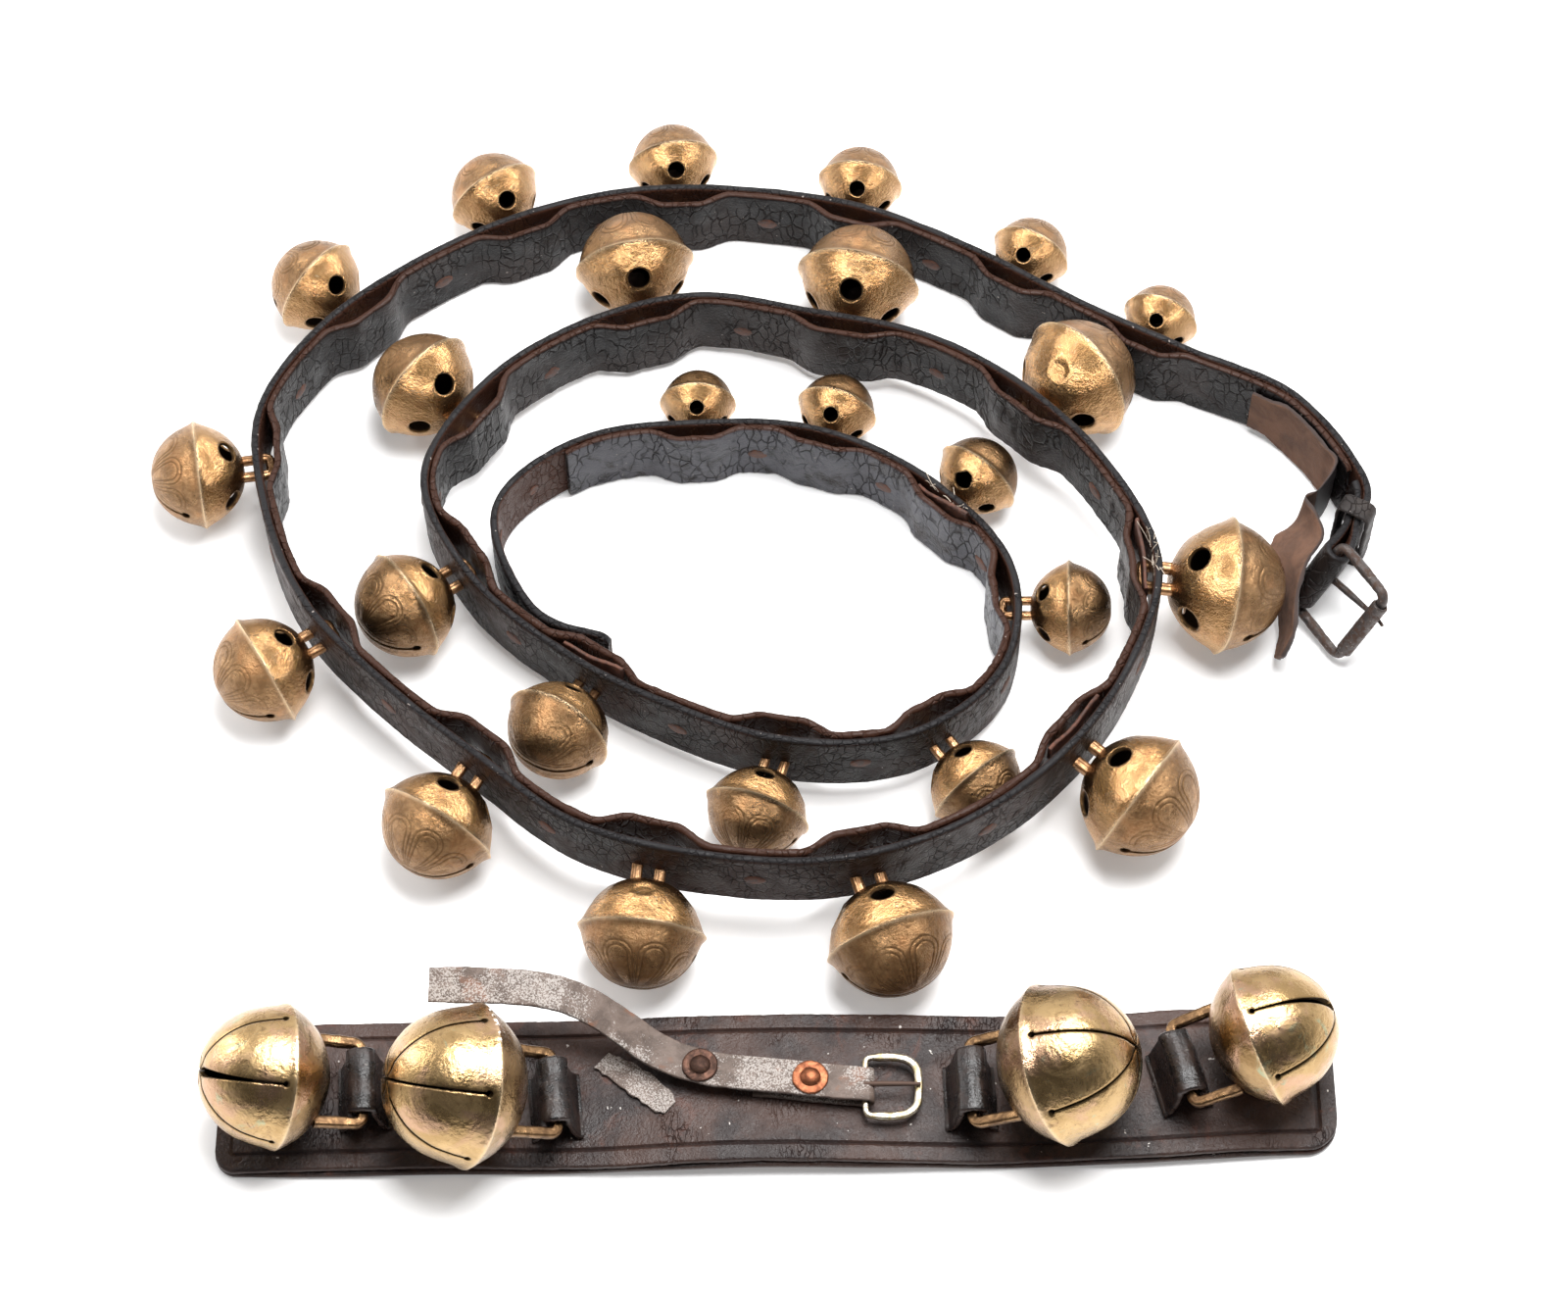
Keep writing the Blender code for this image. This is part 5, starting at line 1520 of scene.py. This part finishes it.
def loop_shape(number):
    """The square-barred brass loop under the keeper, in the bell's own space."""
    radius = LARGE_BELLS[number][0]
    half = LOOP_HALF_WIDTH - LOOP_BAR
    foot = large_arm(radius) - 0.6 * radius
    lean = 0.0006
    corners = [(-half - lean, 0, foot), (-half, 0, 0), (half, 0, 0), (half + lean, 0, foot)]
    centres = bent_wire(corners, 0.0032, 0.0008, False)
    section = round_section(LOOP_BAR, LOOP_BAR * 0.92, 0.001, 4, 4)
    swell = 1 + 0.05 * rough(centres, 0.004, 71 + number)
    return wire(f"loop_{number + 1}", centres, section, (0, 1, 0), False, swell,
                forged(0.0012, 0.0001, 72 + number), 20 + number)


def keeper_shape(number):
    """A glossy leather arch over the bar of the bell's loop, in its own space: side, up, along."""
    base = -BAR_HEIGHT + 0.0014
    clear = LOOP_BAR * 1.42 + 0.0006
    skin = KEEPER_LEATHER
    out = clear + skin / 2
    arch = [(out + skin * 1.9, base), (out + skin * 1.2, base + 0.0012)]
    arch += [(out + skin * 0.5, base * 0.6), (out, base * 0.15), (out - 0.0002, clear - 0.0012)]
    top = [(out * math.sin(a), clear + skin / 2 - out * (1 - math.cos(a)) * 0.55)
           for a in np.radians((50, 25, 0))]
    side = arch + top
    rows = side + [(-x, y) for x, y in side[-2::-1]]
    centres = smooth_rows([(x, y, 0.0) for x, y in rows], 66)
    section = round_section(KEEPER_HALF_WIDTH, skin / 2, skin * 0.42, 18, 4)
    sides, ups = wire_frames(centres, (0, 0, 1), False)
    swell = np.stack([1 + 0.025 * rough(centres, 0.006, 80 + number), np.ones(66)], axis=-1)

    def creased(local, edges):
        fine = rough(local, (0.0014, 0.007, 0.01), 81 + number)
        return 0.00012 * fine + 0.00035 * rough(local, 0.006, 82 + number)

    return sweep(f"keeper_{number + 1}", centres, ups, sides, section, swell=swell, bump=creased,
                 seed=30 + number)


def keeper_frame(number):
    matrix = large_bell_frame(number)
    along = matrix.to_3x3() @ Vector((1.0, 0.0, 0.0))
    side = UP.cross(along) * -1.0
    return frame_matrix(matrix.translation, side, UP, side.cross(UP))


def rough_ball(name, radius, cells, seed):
    """A cast iron pellet with a rough skin and a slight parting line."""
    directions, quads = ball_grid(cells)
    skin = 1 + 0.035 * rough(directions, 0.5, seed) + 0.02 * rough(directions, 0.17, seed + 1)
    skin = skin + 0.02 * hump(directions[:, 2], 0.05)
    points = directions * (skin * radius * 0.97)[:, None]
    faces = [tuple(quad) for quad in quads]
    return make_mesh(name, points, faces, plain_values(points, 0.21 * seed))


def thin_bar_height():
    """The D buckle's bar, just clear of the highest leather under it."""
    top = max(short_top(x) for x in (-0.02, 0.0, 0.02, D_BUCKLE_BAR, 0.05))
    return top + GAP + THIN_LEATHER + D_BUCKLE_WIRE + 0.0007


def thin_strap():
    """From the free end, over the rivets, round the D buckle's bar and back underneath."""
    height = thin_bar_height()
    stations = (
        (-0.135, -0.169, 0.036), (-0.115, -0.1695, 0.0365), (-0.095, -0.1705, 0.0355),
        (-0.08, -0.173, 0.032), (-0.065, -0.179, 0.025), (-0.052, -0.186, 0.018),
        (-0.04, -0.192, height + 0.003), (-0.024, -0.196, height + THIN_LIFT),
        (0.0000, -0.1985, height + THIN_LIFT), (0.018, -0.2005, height + THIN_LIFT),
    )
    path = Route(stations)
    rows = []
    for part in range(19):
        distance = path.length * part / 18
        tangent = Vector(path.tangents(np.array([distance]))[0])
        level = Vector((tangent.x, tangent.y, 0.0)).normalized()
        roll = max(0.0, 0.3 * (1.0 - 2.2 * part / 18))
        across = Vector((-level.y, level.x, 0.0)) * math.cos(roll) + UP * math.sin(roll)
        through = tangent.cross(across).normalized()
        half = THIN_HALF_WIDTH * (0.94 if part == 0 else 1.0)
        rows.append((path.point(distance), across, through, half))
    bar = Vector((D_BUCKLE_BAR, D_BUCKLE_Y, height))
    across = Vector((0.0, 1.0, 0.0))
    low = D_BUCKLE_WIRE + 0.0004 + THIN_LEATHER / 2
    for degrees in (90, 60, 30, 0, -30, -60, -90):
        angle = math.radians(degrees)
        through = Vector((math.cos(angle), 0.0, math.sin(angle)))
        rows.append((bar + through * low, across, through, THIN_HALF_WIDTH))
    for x, y in ((0.018, -0.2005), (0.0000, -0.1985), (-0.012, -0.1975)):
        rows.append((Vector((x, y, height - low)), across, UP * -1.0, THIN_HALF_WIDTH))

    def crust(local, edges):
        fine = 0.0001 * rough(local, 0.001, 91) + 0.00014 * rough(local, 0.0035, 92)
        return fine + 0.00006 * rough(local, 0.0005, 93)

    return ribbon("thin_strap", rows, THIN_LEATHER, 190, crust, 9, 16, 0.4)


def rivet_shape(name, seed, burr, dome):
    """A burr, a domed head on it and the shank, in one: heights from under the burr."""
    profile = [(0.0, dome + 0.001), (0.0012, dome + 0.00095), (0.0024, dome * 0.86 + 0.0009)]
    profile += [(0.0033, dome * 0.5 + 0.0009), (0.0038, 0.0012), (0.004, 0.0009)]
    profile += [(0.0052, 0.0008), (burr - 0.0006, 0.00095), (burr - 0.0001, 0.0007)]
    profile += [(burr, 0.0003), (burr - 0.0004, 0.0)]
    profile += [(0.002, 0.0), (0.002, -0.004), (0.0, -0.004)]
    return lathe(name, profile, 44, seed, 0.00016, size=0.002)


def leather_tail():
    """The ragged end of a lower tab, lying on the short strap behind the dark rivet."""
    rows = []
    for x, y, half in ((-0.07, -0.188, 0.004), (-0.062, -0.193, 0.0054),
                       (-0.054, -0.199, 0.0056), (-0.0465, -0.2055, 0.005),
                       (-0.0435, -0.2085, 0.0034)):
        middle = (x, y, short_top(x) + 0.0008)
        rows.append((middle, (0.66, 0.75, 0.0), (0.0, 0.0, 1.0), half))

    def ragged(local, edges):
        return 0.00018 * rough(local, 0.0018, 95) + 0.0008 * edges * rough(local, 0.0022, 96)

    return ribbon("leather_tail", rows, 0.0012, 44, ragged, 11, 12)


def d_buckle():
    """Frame and tongue, about the middle of the bar."""
    half, far = D_BUCKLE_HALF_WIDTH, D_BUCKLE_LENGTH
    points = [
        (0.0, -half, 0.0), (far * 0.45, -half - 0.0006, 0.0), (far * 0.78, -half * 0.97, 0.0),
        (far * 0.97, -half * 0.66, 0.0), (far, 0.0, 0.0), (far * 0.97, half * 0.66, 0.0),
        (far * 0.78, half * 0.97, 0.0), (far * 0.45, half + 0.0006, 0.0), (0.0, half, 0.0),
    ]
    centres = bent_wire(points, 0.0026, 0.0006)
    frame_side = ease(centres[:, 0], 0.002, 0.006)
    swell = np.stack([0.88 + 0.34 * frame_side, 0.86 + 0.12 * frame_side], axis=-1)
    section = round_section(D_BUCKLE_WIRE, D_BUCKLE_WIRE, D_BUCKLE_WIRE * 0.7, 2, 5)
    frame_mesh = wire("d_buckle_frame", centres, section, (0, 0, 1), True, swell,
                      forged(0.001, 0.00006, 97), 12)
    hook = D_BUCKLE_WIRE + 0.0004 + 0.0008
    points = [(x, 0.0, z) for x, z in tongue_curl(hook)]
    points += [(far * 0.5, 0.0, hook + 0.0002), (far + 0.0005, 0.0, D_BUCKLE_WIRE + 0.0012)]
    centres = smooth_rows(points, 56)
    thin = 1 - 0.3 * ease(np.linspace(0, 1, 56), 0.85, 1.0)
    sides, ups = frames_along(centres, (0.0, 1.0, 0.0))
    tongue_mesh = sweep("d_buckle_tongue", centres, sides, ups, round_bar(0.0011, 12), swell=thin,
                        bump=forged(0.0009, 0.00008, 98), seed=13)
    return frame_mesh, tongue_mesh


# ---------------------------------------------------------------- more materials


def large_brass():
    """Light yellow brass, nearly a mirror on the dome, with a bloom of pink and green and a painted
    highlight along the ridge.
    """
    made = Finish("large_bell_brass", Metallic=1.0)
    spot = made.vector("spot")
    marks = ("throat", "ridge_highlight", "inside", "groove", "rim")
    throat, ridge_highlight, inside, groove, rim = (made.value(mark) for mark in marks)
    cloud = made.noise(spot, 2.6, 4.0, 0.6, 0.6)
    fine = made.noise(spot, 9.0, 5.0, 0.7, 1.0)
    gold = made.mix(made.range(cloud, 0.36, 0.66), (0.4, 0.262, 0.12), (0.53, 0.362, 0.178))
    bowl = made.mix(made.range(cloud, 0.36, 0.66), (0.24, 0.148, 0.066), (0.36, 0.235, 0.115))
    made.colour = made.mix(throat, bowl, gold)
    pink = made.range(made.noise(spot, 1.7, 3.0, 0.6, 0.5), 0.5, 0.66, 0.0, 0.7)
    made.lay(pink, (0.52, 0.32, 0.22))
    stain = made.range(fine, 0.53, 0.68, 0.0, 0.75)
    patch = made.range(made.noise(spot, 1.3, 2.0, 0.5), 0.44, 0.56)
    made.lay(made.times(stain, patch), (0.17, 0.1, 0.05))
    green = made.range(made.noise(spot, 2.1, 4.0, 0.65, 1.4), 0.6, 0.72, 0.0, 0.55)
    made.lay(green, (0.3, 0.42, 0.3))
    freckle = made.range(made.noise(spot, 42.0, 2.0, 0.5), 0.68, 0.73, 0.0, 0.7)
    made.lay(freckle, (0.12, 0.07, 0.03))
    # Painted highlight: a pale line along the ridge.
    made.lay(made.times(ridge_highlight, 0.45), (0.8, 0.62, 0.4))
    made.lay(made.times(rim, 0.25), (0.2, 0.12, 0.05))
    made.lay(made.times(groove, 0.7), (0.08, 0.05, 0.02))
    made.lay(inside, (0.04, 0.024, 0.012))
    specks = made.range(made.noise(spot, 13.0, 3.0, 0.6), 0.5, 0.56)
    paint = made.times(made.value("paint"), specks)
    paint = made.range(paint, 0.3, 0.55)
    dots = made.range(made.noise(spot, 15.0, 2.0, 0.5), 0.66, 0.7)
    paint = made.math("MAXIMUM", paint, made.times(made.value("dots"), dots))
    made.lay(paint, (0.86, 0.83, 0.78))
    metallic = made.range(paint, 0.0, 1.0, 1.0, 0.0)
    roughness = made.range(cloud, 0.3, 0.7, 0.21, 0.31)
    roughness = made.plus(roughness, made.times(stain, 0.12))
    roughness = made.plus(roughness, made.times(inside, 0.5))
    roughness = made.plus(roughness, made.times(paint, 0.4))
    height = made.plus(made.noise(spot, 11.0, 4.0, 0.65), made.times(freckle, -0.4))
    normal = made.bump(height, 0.01, 0.12)
    return made.finish(roughness, normal, metallic)


def crusted_leather():
    """Dry grey-brown leather under a white crust."""
    made = Finish("thin_strap_leather")
    grain, edge = made.vector("grain"), made.value("edge")
    cloud = made.noise(grain, 120.0, 5.0, 0.65, 0.5)
    fine = made.noise(grain, 1500.0, 3.0, 0.7)
    base = made.range(cloud, 0.36, 0.66)
    made.colour = made.mix(base, (0.085, 0.058, 0.045), (0.165, 0.12, 0.098))
    rust = made.range(made.noise(grain, 75.0, 3.0, 0.6), 0.58, 0.68, 0.0, 0.8)
    made.lay(rust, (0.2, 0.085, 0.045))
    broad = made.range(made.noise(grain, 38.0, 4.0, 0.6), 0.36, 0.56, -0.12, 0.1)
    crust = made.range(made.plus(fine, broad), 0.53, 0.65)
    made.lay(made.times(crust, 0.85), (0.47, 0.43, 0.4))
    made.lay(made.range(edge, 0.4, 0.9, 0.0, 0.7), (0.06, 0.038, 0.03))
    roughness = made.range(crust, 0.0, 1.0, 0.55, 0.85)
    normal = made.bump(made.plus(fine, made.times(cloud, 0.5)), 0.0005, 0.7)
    return made.finish(roughness, normal)


def short_leather():
    """Half-glossy purple-brown harness leather with a creased border line."""
    made = Finish("short_strap_leather", Specular_IOR_Level=0.36)
    grain, edge, face = made.vector("grain"), made.value("edge"), made.value("face")
    broad = made.noise(grain, 22.0, 4.0, 0.6, 0.8)
    cloud = made.noise(grain, 70.0, 5.0, 0.65, 0.8)
    fine = made.noise(grain, 800.0, 3.0, 0.65)
    base = made.range(broad, 0.38, 0.62)
    made.colour = made.mix(base, (0.017, 0.0095, 0.0088), (0.052, 0.025, 0.018))
    red = made.range(made.noise(grain, 55.0, 5.0, 0.7, 0.5), 0.55, 0.68, 0.0, 0.75)
    made.lay(red, (0.08, 0.028, 0.017))
    grey = made.range(made.noise(grain, 30.0, 4.0, 0.6, 1.0), 0.6, 0.74, 0.0, 0.45)
    made.lay(grey, (0.07, 0.064, 0.068))
    dark = made.range(cloud, 0.58, 0.72, 0.0, 0.6)
    made.lay(dark, (0.012, 0.008, 0.0075))
    net = made.cracks(made.warped(grain, (1.0, 0.22, 1.0), 160.0, 0.0035), 650.0)
    crack = made.range(net, 0.0, 0.07, 0.8, 0.0)
    patchy = made.range(made.noise(grain, 24.0, 3.0, 0.6), 0.54, 0.66)
    crack = made.times(crack, patchy)
    made.lay(made.times(crack, 0.7), (0.01, 0.006, 0.006))
    line = made.value("line")
    made.lay(made.times(line, 0.7), (0.012, 0.007, 0.006))
    back = made.range(face, -0.6, -0.2, 1.0, 0.0)
    made.lay(back, (0.06, 0.03, 0.019))
    made.lay(made.range(edge, 0.35, 0.9, 0.0, 0.85), (0.036, 0.018, 0.013))
    white = made.range(made.noise(grain, 340.0, 2.0, 0.4), 0.755, 0.77, 0.0, 0.9)
    made.lay(white, (0.62, 0.58, 0.54))
    roughness = made.range(cloud, 0.3, 0.75, 0.34, 0.56)
    roughness = made.plus(roughness, made.times(grey, 0.3))
    height = made.plus(made.times(fine, 0.5), made.times(cloud, 0.8))
    height = made.minus(height, made.times(crack, 0.9))
    height = made.minus(height, made.times(line, 0.8))
    normal = made.bump(height, 0.0012, 0.75)
    return made.finish(roughness, normal)


def glossy_keeper():
    made = Finish("keeper_leather", Specular_IOR_Level=0.35)
    grain, edge = made.vector("grain"), made.value("edge")
    cloud = made.noise(grain, 130.0, 5.0, 0.65, 0.5)
    fine = made.noise(grain, 1100.0, 3.0, 0.6)
    base = made.range(cloud, 0.4, 0.66)
    made.colour = made.mix(base, (0.008, 0.0065, 0.0065), (0.024, 0.014, 0.0115))
    # Pale cream scuffs, strongest on the edges: partly rubbed wear and partly painted highlights.
    scuff = made.range(made.noise(grain, 260.0, 4.0, 0.7), 0.64, 0.7, 0.0, 0.8)
    worn = made.times(scuff, made.range(edge, 0.1, 0.8, 0.35, 1.0))
    made.lay(worn, (0.42, 0.38, 0.35))
    made.lay(made.range(edge, 0.5, 1.0, 0.0, 0.5), (0.06, 0.036, 0.028))
    roughness = made.range(cloud, 0.3, 0.7, 0.2, 0.42)
    roughness = made.plus(roughness, made.times(worn, 0.4))
    normal = made.bump(made.plus(fine, cloud), 0.0005, 0.5)
    return made.finish(roughness, normal)


def suede():
    """Rough brown flesh side, darker on the grain side and the edges."""
    made = Finish("suede_leather")
    grain, edge, face = made.vector("grain"), made.value("edge"), made.value("face")
    cloud = made.noise(grain, 85.0, 5.0, 0.7, 0.5)
    fibre = made.noise(made.stretched(grain, (1.0, 2.2, 1.0)), 1600.0, 4.0, 0.75)
    base = made.range(cloud, 0.34, 0.66)
    made.colour = made.mix(base, (0.075, 0.036, 0.022), (0.15, 0.072, 0.042))
    made.lay(made.times(fibre, 0.3), (0.22, 0.125, 0.08))
    back = made.range(face, -0.6, -0.2, 1.0, 0.0)
    made.lay(back, (0.04, 0.034, 0.034))
    made.lay(made.range(edge, 0.4, 0.95, 0.0, 0.85), (0.05, 0.038, 0.036))
    roughness = made.range(back, 0.0, 1.0, 0.95, 0.48)
    normal = made.bump(made.plus(fibre, cloud), 0.0007, 0.8)
    return made.finish(roughness, normal)


def oval_leather():
    made = Finish("lace_leather")
    grain = made.vector("grain")
    cloud = made.noise(grain, 420.0, 4.0, 0.65)
    made.colour = made.mix(made.range(cloud, 0.38, 0.64), (0.05, 0.02, 0.013), (0.12, 0.045, 0.026))
    roughness = made.range(cloud, 0.3, 0.7, 0.55, 0.75)
    normal = made.bump(made.noise(grain, 1400.0, 3.0, 0.6), 0.0004, 0.6)
    return made.finish(roughness, normal)


def thread_fibre():
    made = Finish("pale_thread")
    grain = made.vector("grain")
    cloud = made.noise(grain, 900.0, 3.0, 0.6)
    made.colour = made.mix(made.range(cloud, 0.35, 0.65), (0.42, 0.34, 0.27), (0.66, 0.58, 0.48))
    normal = made.bump(made.noise(grain, 4000.0, 2.0, 0.5), 0.0002, 0.5)
    return made.finish(made.range(cloud, 0.3, 0.7, 0.8, 0.9), normal)


# ---------------------------------------------------------------- all of it


def add_long_strap():
    outer = strap_leather(
        "outer_ply_leather", (0.011, 0.008, 0.0072), (0.03, 0.0135, 0.0095),
        (0.015, 0.014, 0.015), 0.34, 300.0, (1.0, 0.55, 1.0), 0.8,
        flesh=(0.055, 0.022, 0.013),
    )
    lining = strap_leather(
        "lining_leather", (0.0085, 0.0072, 0.0075), (0.02, 0.012, 0.01),
        (0.042, 0.018, 0.0115), 0.27, 240.0, (1.0, 0.4, 1.0), 1.0,
        flesh=(0.05, 0.021, 0.013), silver=(0.105, 0.105, 0.118), silver_from=1.7,
    )
    dark = strap_leather(
        "keeper_band_leather", (0.02, 0.018, 0.018), (0.04, 0.032, 0.029), (0.03, 0.024, 0.022),
        0.38, 420.0, (1.0, 0.6, 1.0), 0.8,
    )
    fuzzy, lace, fibre, iron = suede(), oval_leather(), thread_fibre(), rusty_iron()
    piece("long_strap_outer", outer_ply(), "long_strap", outer,
          ["long_strap_outer_ply", "buckle_fold"])
    piece("long_strap_lining", lining_ply(), "long_strap", lining,
          ["long_strap_lining_ply"])
    piece("lace_studs", laces(), "long_strap", lace)
    piece("tip_hole_rims", tip_hole_marks(), "long_strap", lace)
    for index in (11, 12, 18, 22):
        piece(f"shank_key_{index + 1:02d}", key_strip(index), "long_strap", lace)
    for index, count, reach in ((12, 22, 0.0085), (22, 14, 0.006)):
        piece(f"frayed_threads_{index + 1:02d}", threads(index, count, reach), "long_strap", fibre)
    piece("flap", buckle_flap(), "long_strap", fuzzy, ["buckle_end_flap"])
    mesh, matrix = keeper_loop()
    piece("keeper_band", mesh, "strap_keeper", dark, ["strap_keeper_loop"], matrix)
    frame_mesh, roller_mesh, tongue_mesh = roller_buckle()
    window, side, bar = buckle_axes()
    matrix = frame_matrix(LONG.point(0.0), window, side, bar)
    far = matrix @ Matrix.Translation((BUCKLE_LENGTH, 0.0, 0.0))
    piece("buckle_wire_frame", frame_mesh, "roller_buckle", iron,
          ["roller_buckle_frame"], matrix)
    piece("buckle_roller", roller_mesh, "roller", iron, ["roller_sleeve"], far)
    piece("buckle_tongue", tongue_mesh, "roller_tongue", iron,
          ["roller_buckle_tongue"], matrix)


def add_petal_bells():
    brass = petal_brass()
    shank_brass = plain_brass("shank_brass", (0.5, 0.29, 0.15), (0.24, 0.125, 0.06))
    iron = bpy.data.materials["rusty_iron"]
    normal = petal_topology()
    blind = petal_topology(blind=True)
    ragged = petal_topology(ragged=True)
    for index in range(BELL_COUNT):
        topology = blind if index in BLIND_BELLS else ragged if index == RAGGED_BELL else normal
        label = f"bell_{index + 1:02d}"
        matrix = bell_frame(LONG, index)
        radius = bell_radius(index)
        ball = matrix @ Matrix.Translation((0.0, 0.0, bell_arm(index))) @ Matrix.Scale(radius, 4)
        piece(f"petal_{label}", petal_shape(topology, index), label, brass,
              [label], ball)
        piece(f"shank_{label}", shank_shape(index), label, shank_brass,
              matrix=matrix)
        middle = ball.translation - UP * 0.6 * radius * 0.86
        pellet = rough_ball(f"pellet_{label}", 0.2 * radius, 8, 700 + index)
        piece(f"pellet_{label}", pellet, label, iron,
              matrix=Matrix.Translation(middle))


def add_short_strap():
    leather, glossy, crust = short_leather(), glossy_keeper(), crusted_leather()
    low = SHORT_PLY + GAP
    piece("short_base", short_ply("short_base", 0.0, 0.0, 101, 0), "short_strap", leather,
          ["short_strap_base_ply"])
    piece("short_top", short_ply("short_top", low, 0.0006, 111, 1), "short_strap", leather,
          ["short_strap_top_ply"])
    piece("thin_strip", thin_strap(), "short_strap", crust,
          ["thin_strap", "thin_strap_fold"])
    piece("leather_tail", leather_tail(), "short_strap", crust)
    height = thin_bar_height()
    head = height + THIN_LIFT + THIN_LEATHER / 2 + 0.0003
    dark = plain_brass("dark_copper", (0.105, 0.055, 0.04), (0.05, 0.03, 0.024), 0.46)
    bright = plain_brass("copper", (0.32, 0.118, 0.058), (0.15, 0.052, 0.028), 0.42)
    piece("dark_rivet", rivet_shape("dark_rivet", 14, 0.0069, 0.0014), "short_strap", dark,
          ["rivet_dark"], Matrix.Translation((*DARK_RIVET, head)))
    piece("copper_rivet", rivet_shape("copper_rivet", 15, 0.0069, 0.0017), "short_strap", bright,
          ["rivet_copper"], Matrix.Translation((*BRIGHT_RIVET, head)))
    frame_mesh, tongue_mesh = d_buckle()
    matrix = Matrix.Translation((D_BUCKLE_BAR, D_BUCKLE_Y, height))
    nickel = plain_brass("worn_nickel", (0.54, 0.5, 0.43), (0.34, 0.27, 0.15), 0.3)
    iron = bpy.data.materials["rusty_iron"]
    piece("d_frame", frame_mesh, "d_buckle", nickel, ["d_buckle_frame"], matrix)
    piece("d_tongue_wire", tongue_mesh, "d_tongue", iron, ["d_buckle_tongue"],
          matrix)
    brass = large_brass()
    loop_brass = plain_brass("loop_brass", (0.27, 0.16, 0.078), (0.105, 0.06, 0.032))
    for number, (radius, _, _, _, turn) in enumerate(LARGE_BELLS):
        label = f"large_bell_{number + 1}"
        matrix = large_bell_frame(number)
        centre = matrix @ Matrix.Translation((0.0, 0.0, large_arm(radius)))
        sprung = {0: 4, 3: 4}.get(number, -1)
        shape = large_shape(number, large_topology(turn, sprung))
        piece(f"dome_{label}", shape, label, brass, [label],
              centre @ Matrix.Scale(radius, 4))
        piece(f"loop_{label}", loop_shape(number), label, loop_brass,
              matrix=matrix)
        piece(f"keeper_{number + 1}", keeper_shape(number), "short_strap", glossy,
              [f"large_bell_keeper_{number + 1}"], keeper_frame(number))
        axis = matrix.to_3x3() @ UP
        drop = UP * (SHANK_POLE * radius - PELLET_RADIUS - 0.0006) - axis * 0.02 * radius
        pellet = rough_ball(f"ball_{number + 1}", PELLET_RADIUS, 14, 800 + number)
        piece(f"iron_ball_{number + 1}", pellet, f"large_bell_pellet_{number + 1}", iron,
              [f"large_bell_pellet_{number + 1}"],
              Matrix.Translation(centre.translation - drop))


def build():
    camera_and_light()
    add_long_strap()
    add_petal_bells()
    add_short_strap()


build()
